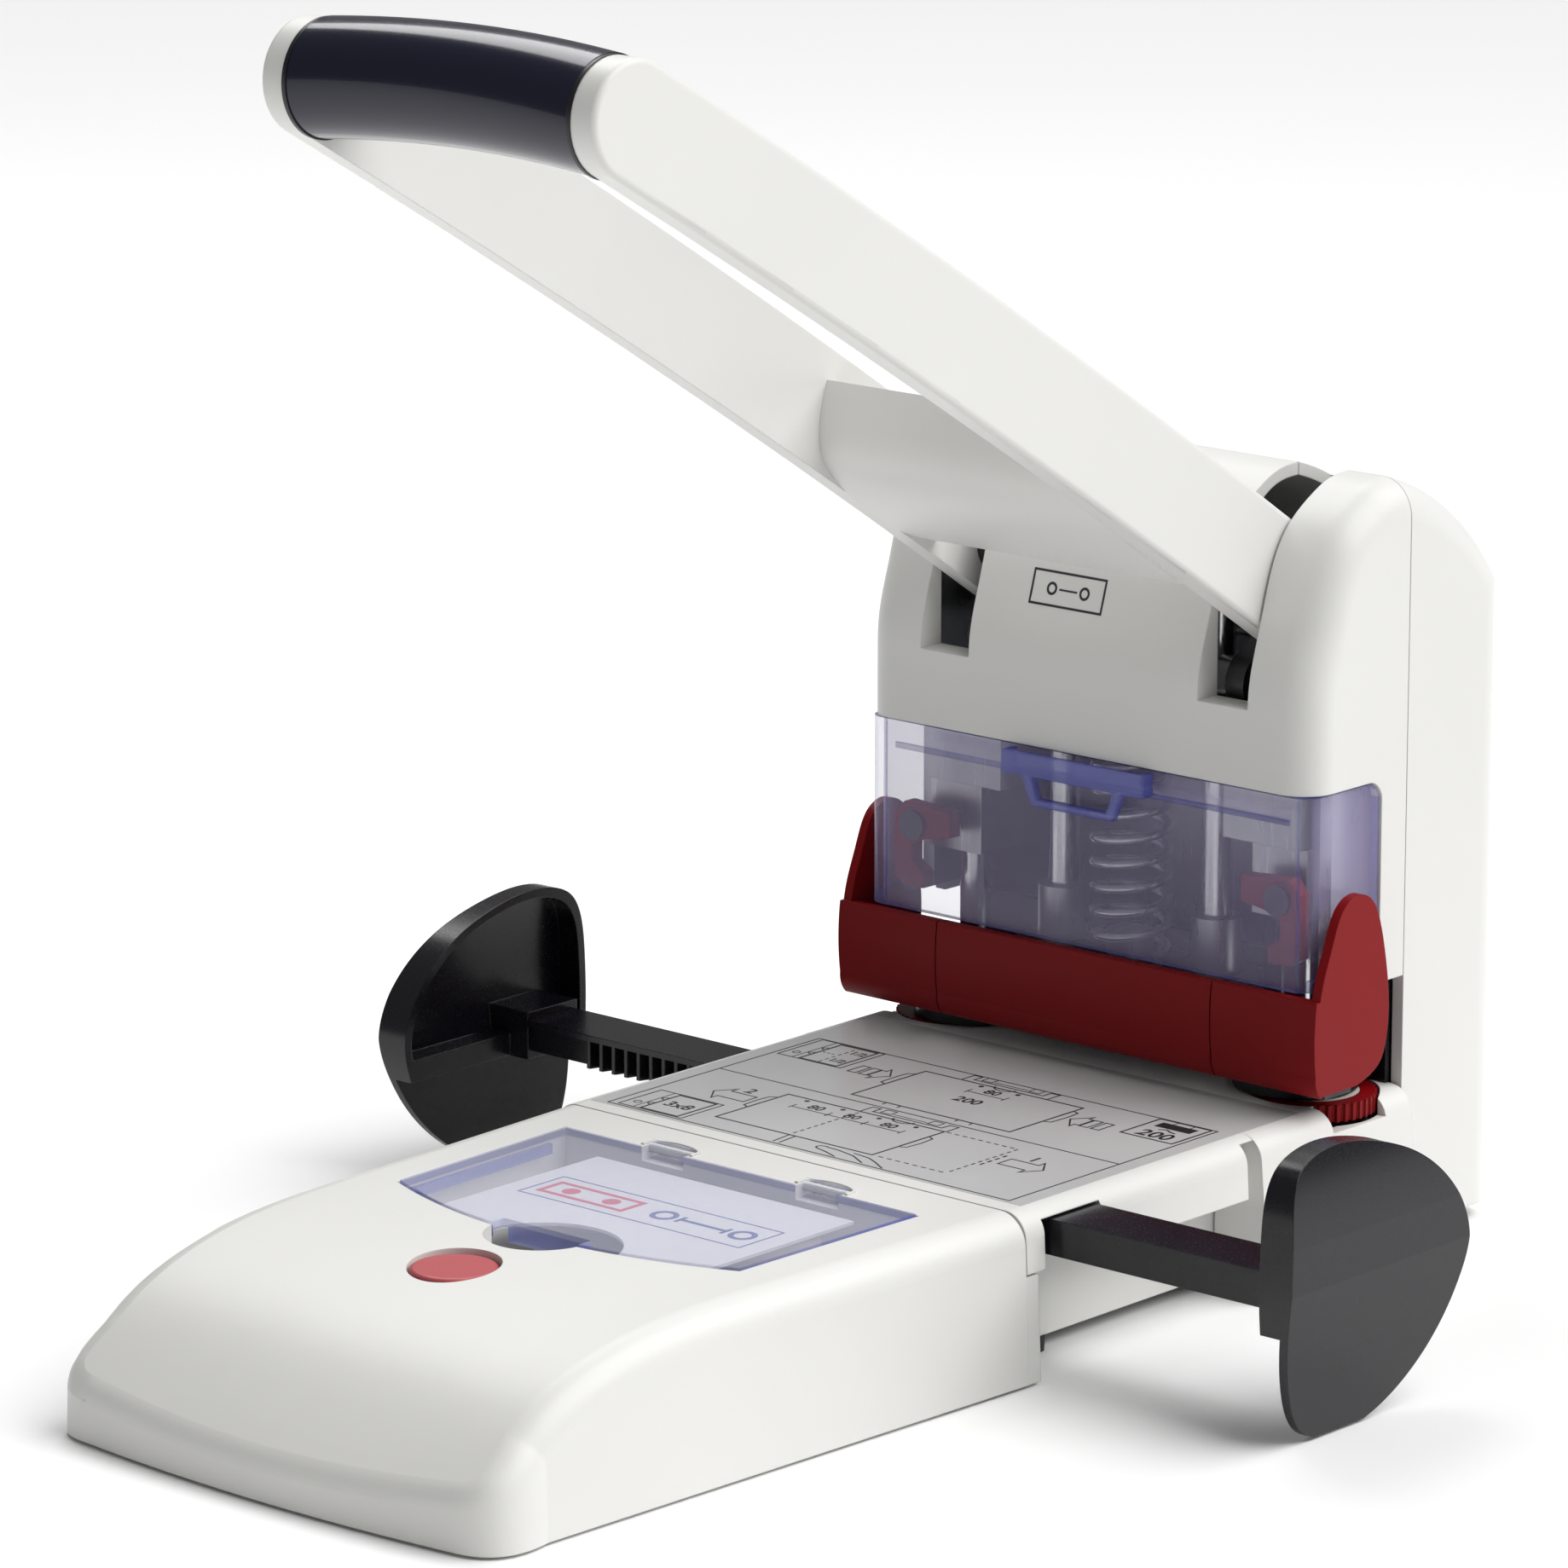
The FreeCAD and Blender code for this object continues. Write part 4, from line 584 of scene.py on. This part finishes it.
class PUNCH_OT_storage(Operator):
    """Makes the storage lid, the card under it and the red button"""

    bl_idname = "punch.storage"
    bl_label = "Storage and Button"

    def execute(self, context):
        look = context.scene.punch_finishes
        pane = clear_plastic("lid pane", look.lid, 0.08, 0.34)
        edge = clear_plastic("lid edge", look.lid_edge, 0.30, 0.80)
        clear_part("storage_lid", "lid_pane", "lid", "clear_plastic", pane, edge, narrow_rim)
        paint(paper("index card", look.card), "storage_card")
        paint(moulded("button plastic", look.button, 0.40, look), "release_button")
        self.card_print(context)
        return {"FINISHED"}

    def card_print(self, context):
        """A framed pictogram: a sheet with two holes, and their spacing."""
        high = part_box("storage_card")[1]
        lift = context.scene.punch_print.ink
        line = context.scene.punch_print.line / MM

        def seat(x, y, up):
            return Vector((x * MM, y * MM, high.z + (lift if up else -lift)))

        blue = ink("blue ink", (0.02, 0.05, 0.22))
        red = ink("red ink", (0.50, 0.02, 0.05))
        middle = -40.5
        bm = bmesh.new()
        ribbon(bm, outline(-27.0, 27.0, middle - 6.1, middle + 6.1), line * 1.2, seat, closed=True)
        for x in (3.5, 22.5):
            ribbon(bm, arc(x, middle, 2.2, 2.2, 0, 360, 28)[:-1], 1.1, seat, closed=True)
        ribbon(bm, [(7.5, middle), (18.5, middle)], 1.0, seat)
        for x in (7.5, 18.5):
            ribbon(bm, [(x, middle - 1.7), (x, middle + 1.7)], 0.8, seat)
        add_piece("card_frame_print", bm, "drawer", "card", blue)
        bm = bmesh.new()
        ribbon(bm, outline(-24.6, -4.4, middle - 3.1, middle + 3.1), 1.1, seat, closed=True)
        for x in (-19.5, -9.5):
            disc(bm, x, middle, 1.8, seat, 28)
        add_piece("card_sheet_print", bm, "drawer", "card", red)


class PUNCH_OT_label(Operator):
    """Prints the guide drawings on the deck label"""

    bl_idname = "punch.label"
    bl_label = "Deck Label"

    def execute(self, context):
        look = context.scene.punch_finishes
        film, tree, shader = new_finish("label film with painted reflection")
        sheen = noise(tree, 25.0, 3.0)
        # the film's colour holds a painted reflection of the clamp bar and window, besides its own
        # silver-grey
        silver_with_painted_reflection = shades(tree, sheen, dimmed(look.label, 0.94), look.label)
        tree.links.new(silver_with_painted_reflection, shader.inputs["Base Color"])
        tree.links.new(between(tree, sheen, 0.20, 0.27), shader.inputs["Roughness"])
        shader.inputs["Specular IOR Level"].default_value = 0.7
        bump(tree, shader, noise(tree, 1200.0, 2.0), 0.06, 0.00003)
        paint(film, "deck_label")
        low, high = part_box("deck_label")
        lift = context.scene.punch_print.ink
        line = context.scene.punch_print.line / MM
        dash = context.scene.punch_print.dash / MM
        middle = low.y + 31.2 * MM

        def seat(x, y, up):
            """Figures are set out in millimetres from the middle of the label."""
            return Vector((x * MM, middle + y * MM, high.z + (lift if up else -lift)))

        bm = bmesh.new()
        half, deep = 49.4, 30.2
        ribbon(bm, outline(-half, half, -deep, deep), line, seat, closed=True)
        ribbon(bm, [(-half, 1.3), (half, 1.3)], line, seat)
        self.centred_sheet(bm, line, seat)
        self.long_sheet(bm, line, dash, seat)
        self.corner_signs(bm, line, dash, seat)
        black = ink("black ink", (0.012, 0.012, 0.016))
        add_piece("label_print", bm, "base", "label", black)
        return {"FINISHED"}

    def head(self, bm, y, line, seat):
        """The punch head seen from above, at the edge of a sheet."""
        ribbon(bm, [(-9.6, y - 0.1), (-9.6, y + 3.6), (-7.6, y + 3.6), (-7.6, y + 1.2),
                    (9.4, y + 1.2), (9.4, y + 3.6), (11.6, y + 3.6), (11.6, y - 0.1)], line, seat)
        for x in (-5.0, 6.6):
            ribbon(bm, outline(x - 1.2, x + 1.2, y + 1.8, y + 3.9), line * 0.8, seat, closed=True)
        ribbon(bm, [(-3.3, y + 2.2), (4.9, y + 2.2)], line * 0.7, seat)
        ribbon(bm, arc(0.9, y + 0.5, 2.5, 1.9, 180, 360), line, seat)

    def span(self, bm, x0, x1, y, line, seat):
        """A dimension line between two holes, with its figure."""
        ribbon(bm, [(x0, y), (x1, y)], line * 0.8, seat)
        for x in (x0, x1):
            ribbon(bm, [(x, y - 0.9), (x, y + 1.5)], line * 0.8, seat)
        figures(bm, "80", 0.5 * (x0 + x1), y + 2.0, 3.6, seat)

    def centred_sheet(self, bm, line, seat):
        """Upper half: one sheet held in the middle by both guides."""
        ribbon(bm, outline(-18.5, 20.5, 4.3, 25.9), line * 1.3, seat, closed=True)
        self.head(bm, 26.2, line, seat)
        for x in (-3.6, 5.5):
            disc(bm, x, 24.7, 0.55, seat)
        self.span(bm, -3.6, 5.5, 20.6, line, seat)
        figures(bm, "200", 0.9, 15.4, 4.2, seat)
        for x in (-9.7, -6.1, 8.1, 11.6):
            ribbon(bm, [(x, 4.1), (x + 0.1, 3.0)], line, seat)
        for side, edge in ((-1, -18.7), (1, 20.8)):
            ribbon(bm, [(edge, 23.0), (edge + side * 1.3, 22.4), (edge + side * 1.5, 18.8),
                        (edge + side * 1.3, 14.6), (edge, 14.0)], line, seat)
        for side, tip in ((-1, -21.2), (1, 23.4)):
            self.arrow(bm, tip, 18.6, side, line, seat)
            for k in (1, 2):
                x = tip + side * (2.4 + 2.7 * k)
                ribbon(bm, outline(x - 0.95, x + 0.95, 16.2, 20.9), line, seat, closed=True)

    def arrow(self, bm, tip, y, side, line, seat):
        """A hollow arrow head that points at the sheet."""
        back = tip + side * 3.0
        ribbon(bm, [(tip, y), (back - side * 0.2, y + 3.7), (back - side * 0.2, y + 2.2),
                    (back + side * 0.9, y + 2.2), (back + side * 0.9, y - 2.2),
                    (back - side * 0.2, y - 2.2), (back - side * 0.2, y - 3.7)],
               line, seat, closed=True)

    def long_sheet(self, bm, line, dash, seat):
        """Lower half: a long sheet punched twice, moved between the guides."""
        ribbon(bm, outline(-27.4, 11.4, -24.2, -3.6), line * 1.3, seat, closed=True)
        self.head(bm, -3.3, line, seat)
        for x in (-21.6, -12.6, -3.6, 5.5):
            disc(bm, x, -4.9, 0.55, seat)
        for x0, x1 in ((-21.6, -12.6), (-12.6, -3.6), (-3.6, 5.5)):
            self.span(bm, x0, x1, -9.4, line, seat)
        broken(bm, (-9.1, -4.4), (-9.1, -23.8), line, dash, seat)
        broken(bm, (12.0, -3.6), (29.2, -3.6), line, dash, seat)
        broken(bm, (29.2, -3.6), (29.2, -24.0), line, dash, seat)
        broken(bm, (28.6, -24.2), (12.0, -24.2), line, dash, seat)
        ribbon(bm, [(-27.7, -6.6), (-28.9, -7.2), (-29.2, -10.8),
                    (-28.9, -14.6), (-27.7, -15.2)], line, seat)
        ribbon(bm, [(11.7, -8.2), (12.9, -8.8), (13.2, -12.4),
                    (12.9, -16.2), (11.7, -16.8)], line, seat)
        broken(bm, (30.4, -8.2), (30.4, -16.8), line * 1.4, dash, seat)
        for side, tip, mark in ((-1, -39.6, "2"), (1, 41.6, "1")):
            inner = tip - side * 9.2
            neck = tip - side * 2.7
            ribbon(bm, [(tip, -11.2), (neck, -7.4), (neck, -9.2), (inner, -9.2),
                        (inner, -13.2), (neck, -13.2), (neck, -15.0)], line, seat, closed=True)
            figures(bm, mark, tip - side * 5.6, -6.9, 4.0, seat)
        for x in (-8.9, -7.4):
            ribbon(bm, [(x, -24.5), (x + 0.5, -29.4)], line, seat)
        self.hand(bm, line, seat)

    def hand(self, bm, line, seat):
        """A finger that holds the sheet's front edge."""
        ribbon(bm, arc(1.3, -26.6, 1.3, 1.0, 60, 250, 8) +
               [(3.4, -28.2), (6.9, -29.6)], line, seat)
        ribbon(bm, [(2.0, -25.8), (4.8, -26.0), (9.2, -27.0), (13.4, -29.4)], line, seat)
        ribbon(bm, [(8.2, -25.6), (12.4, -26.2), (15.2, -27.6), (18.6, -29.7)], line, seat)

    def corner_signs(self, bm, line, dash, seat):
        """The three framed signs in the corners."""
        for y0, y1, halves in ((16.7, 29.9, True), (-29.4, -17.4, False)):
            x0 = -48.2 if halves else -47.4
            ribbon(bm, outline(x0, x0 + 15.9, y0, y1), line, seat, closed=True)
            ribbon(bm, outline(x0 + 5.2, x0 + 14.5, y0 + 0.5, y1 - 0.5), line * 1.4, seat, closed=True)
            ribbon(bm, [(x0 + 3.6, y0 + 0.2), (x0 + 3.6, y1 - 0.2)], line * 0.7, seat)
            ring = arc(x0 + 2.0, y0 + 3.2, 0.75, 0.75, 0, 360, 16)[:-1]
            ribbon(bm, ring, line * 0.8, seat, closed=True)
            for y in ((y0 + y1) / 2 - 2.0, (y0 + y1) / 2 + 2.0):
                ribbon(bm, arc(x0 + 5.2, y, 1.2, 0.7, 100, 260), line, seat)
            if halves:
                broken(bm, (x0 + 9.7, y0 + 0.9), (x0 + 9.7, y1 - 0.9), line * 0.8, dash, seat)
                broken(bm, (x0 + 5.8, 23.3), (x0 + 9.2, 23.3), line * 0.8, dash * 0.6, seat)
                for y in (20.2, 26.4):
                    figures(bm, "1/2", x0 + 12.1, y, 2.9, seat)
            else:
                figures(bm, "3x8", x0 + 9.9, -23.4, 4.3, seat)
        ribbon(bm, outline(36.0, 48.2, 18.0, 29.9), line * 1.3, seat, closed=True)
        slab(bm, 38.0, 46.4, 25.4, 28.3, seat)
        for x in (40.4, 44.4):
            ribbon(bm, [(x, 28.4), (x, 29.6)], line * 0.7, seat)
        ribbon(bm, [(40.2, 23.9), (41.6, 24.8), (43.2, 23.9), (44.4, 23.7)], line * 1.2, seat)
        figures(bm, "200", 42.1, 20.7, 5.2, seat)


class PUNCH_OT_marks(Operator):
    """Adds the small sign on the tower and the hinge loops behind the lid"""

    bl_idname = "punch.marks"
    bl_label = "Signs and Loops"

    def execute(self, context):
        look = context.scene.punch_finishes
        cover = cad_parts["tower_front_cover"]
        ground = BVHTree.FromObject(cover, bpy.context.evaluated_depsgraph_get())
        lift = context.scene.punch_print.ink

        def seat(x, z, up):
            start = Vector((x * MM, -0.2, z * MM))
            hit = ground.ray_cast(start, Vector((0, 1, 0)))[0]
            if hit is None:
                raise RuntimeError("the tower sign has no cover behind it")
            return hit + Vector((0, -lift if up else lift, 0))

        bm = bmesh.new()
        ribbon(bm, outline(-15.0, 2.5, 120.4, 126.6), 0.45, seat, closed=True)
        for x in (-10.2, -2.2):
            ribbon(bm, arc(x, 123.5, 1.0, 1.0, 0, 360, 20)[:-1], 0.5, seat, closed=True)
        ribbon(bm, [(-8.4, 123.5), (-4.0, 123.5)], 0.35, seat)
        add_piece("tower_sign", bm, "base", "label", ink("sign ink", (0.02, 0.02, 0.025)))
        self.hinge_loops(look)
        return {"FINISHED"}

    def hinge_loops(self, look):
        """Raised arches round the lid's two hinge knuckles."""
        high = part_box("storage_lid")[1]
        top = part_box("deck_cover")[1].z

        def seat(x, y, up):
            return Vector((x * MM, high.y + y * MM, top + (0.30 * MM if up else -0.1 * MM)))

        bm = bmesh.new()
        for x in (-KNUCKLE_X / MM, KNUCKLE_X / MM):
            arch = arc(x, -1.3, 6.0, 2.6, 180, 0, 18)
            ribbon(bm, [(x - 6.0, -3.2), *arch, (x + 6.0, -3.2)], 0.7, seat)
        plastic = moulded("loop plastic", look.cover, 0.42, look)
        add_piece("hinge_loops", bm, "drawer", "cover_plastic", plastic)


class PUNCH_OT_stage(Operator):
    """Sets the pale floor, the soft lights and the camera"""

    bl_idname = "punch.stage"
    bl_label = "Stage"

    def execute(self, context):
        setting = context.scene.punch_stage
        self.floor()
        self.lights(setting)
        self.camera(context, setting)
        return {"FINISHED"}

    def floor(self):
        """A wide, round, flat table top."""
        material, tree, shader = new_finish("floor")
        patches = noise(tree, 3.0, 2.0)
        white, whiter = (0.955, 0.955, 0.955), (0.965, 0.965, 0.965)
        tree.links.new(shades(tree, patches, white, whiter), shader.inputs["Base Color"])
        shader.inputs["Roughness"].default_value = 0.65
        bm = bmesh.new()
        bmesh.ops.create_circle(bm, cap_ends=True, segments=96, radius=FLOOR_RADIUS)
        mesh = bpy.data.meshes.new("floor")
        bm.to_mesh(mesh)
        bm.free()
        mesh.materials.append(material)
        floor = bpy.data.objects.new("floor", mesh)
        floor.location.z = CAD_BOX[0].z
        bpy.context.scene.collection.objects.link(floor)

    def lights(self, setting):
        world = bpy.data.worlds.new("white room")
        world.use_nodes = True
        back = world.node_tree.nodes["Background"]
        back.inputs["Color"].default_value = (1.0, 1.0, 1.0, 1.0)
        back.inputs["Strength"].default_value = setting.room
        bpy.context.scene.world = world
        high = bpy.data.lights.new("high_window", "SUN")
        high.energy = setting.key
        high.angle = math.radians(60)
        lamp = bpy.data.objects.new("high_window", high)
        lamp.rotation_euler = Vector(TO_WINDOW).to_track_quat("Z", "Y").to_euler()
        bpy.context.scene.collection.objects.link(lamp)
        self.softbox("rear_left", (-0.65, 0.40, 1.15), (0.0, -0.08, 0.24), 0.7, 7.0)

    def softbox(self, name, where, towards, size, power):
        light = bpy.data.lights.new(name, "AREA")
        light.shape = "SQUARE"
        light.size = size
        light.energy = power
        lamp = bpy.data.objects.new(name, light)
        lamp.location = where
        lamp.rotation_euler = (Vector(towards) - Vector(where)).to_track_quat("-Z", "Y").to_euler()
        bpy.context.scene.collection.objects.link(lamp)

    def camera(self, context, setting):
        middle = 0.5 * (CAD_BOX[0] + CAD_BOX[1])
        aim = middle + Vector(setting.aim)
        side, rise = setting.azimuth, setting.elevation
        back = Vector((
            math.sin(side) * math.cos(rise),
            -math.cos(side) * math.cos(rise),
            math.sin(rise)))
        data = bpy.data.cameras.new("camera")
        data.sensor_width = 36.0
        data.lens = setting.lens
        data.clip_end = 50.0
        camera = bpy.data.objects.new("camera", data)
        camera.location = aim + back * setting.distance
        camera.rotation_euler = (-back).to_track_quat("-Z", "Y").to_euler()
        context.scene.collection.objects.link(camera)
        context.scene.camera = camera
        context.scene.view_settings.view_transform = "Standard"


OPERATORS = (
    PUNCH_OT_stage,
    PUNCH_OT_covers,
    PUNCH_OT_lever,
    PUNCH_OT_clamp,
    PUNCH_OT_mechanism,
    PUNCH_OT_guides,
    PUNCH_OT_window,
    PUNCH_OT_storage,
    PUNCH_OT_label,
    PUNCH_OT_marks,
)


class PUNCH_PT_sidebar(Panel):
    """Lists the steps that finish the punch"""

    bl_idname = "PUNCH_PT_sidebar"
    bl_label = "Hole Punch"
    bl_space_type = "VIEW_3D"
    bl_region_type = "UI"
    bl_category = "Hole Punch"

    def draw(self, context):
        for step in OPERATORS:
            self.layout.operator(step.bl_idname)
        scene = context.scene
        for group in (scene.punch_finishes, scene.punch_print, scene.punch_stage):
            column = self.layout.column()
            for name in group.__annotations__:
                column.prop(group, name)


CLASSES = (PunchFinishes, PunchPrint, PunchStage, *OPERATORS, PUNCH_PT_sidebar)


def register():
    for cls in CLASSES:
        bpy.utils.register_class(cls)
    bpy.types.Scene.punch_finishes = PointerProperty(type=PunchFinishes)
    bpy.types.Scene.punch_print = PointerProperty(type=PunchPrint)
    bpy.types.Scene.punch_stage = PointerProperty(type=PunchStage)


def unregister():
    del bpy.types.Scene.punch_stage
    del bpy.types.Scene.punch_print
    del bpy.types.Scene.punch_finishes
    for cls in reversed(CLASSES):
        bpy.utils.unregister_class(cls)


def main():
    register()
    bpy.ops.punch.stage()
    bpy.ops.punch.covers()
    bpy.ops.punch.lever()
    bpy.ops.punch.clamp()
    bpy.ops.punch.mechanism()
    bpy.ops.punch.guides()
    bpy.ops.punch.window()
    bpy.ops.punch.storage()
    bpy.ops.punch.label()
    bpy.ops.punch.marks()


if __name__ == "__main__":
    main()
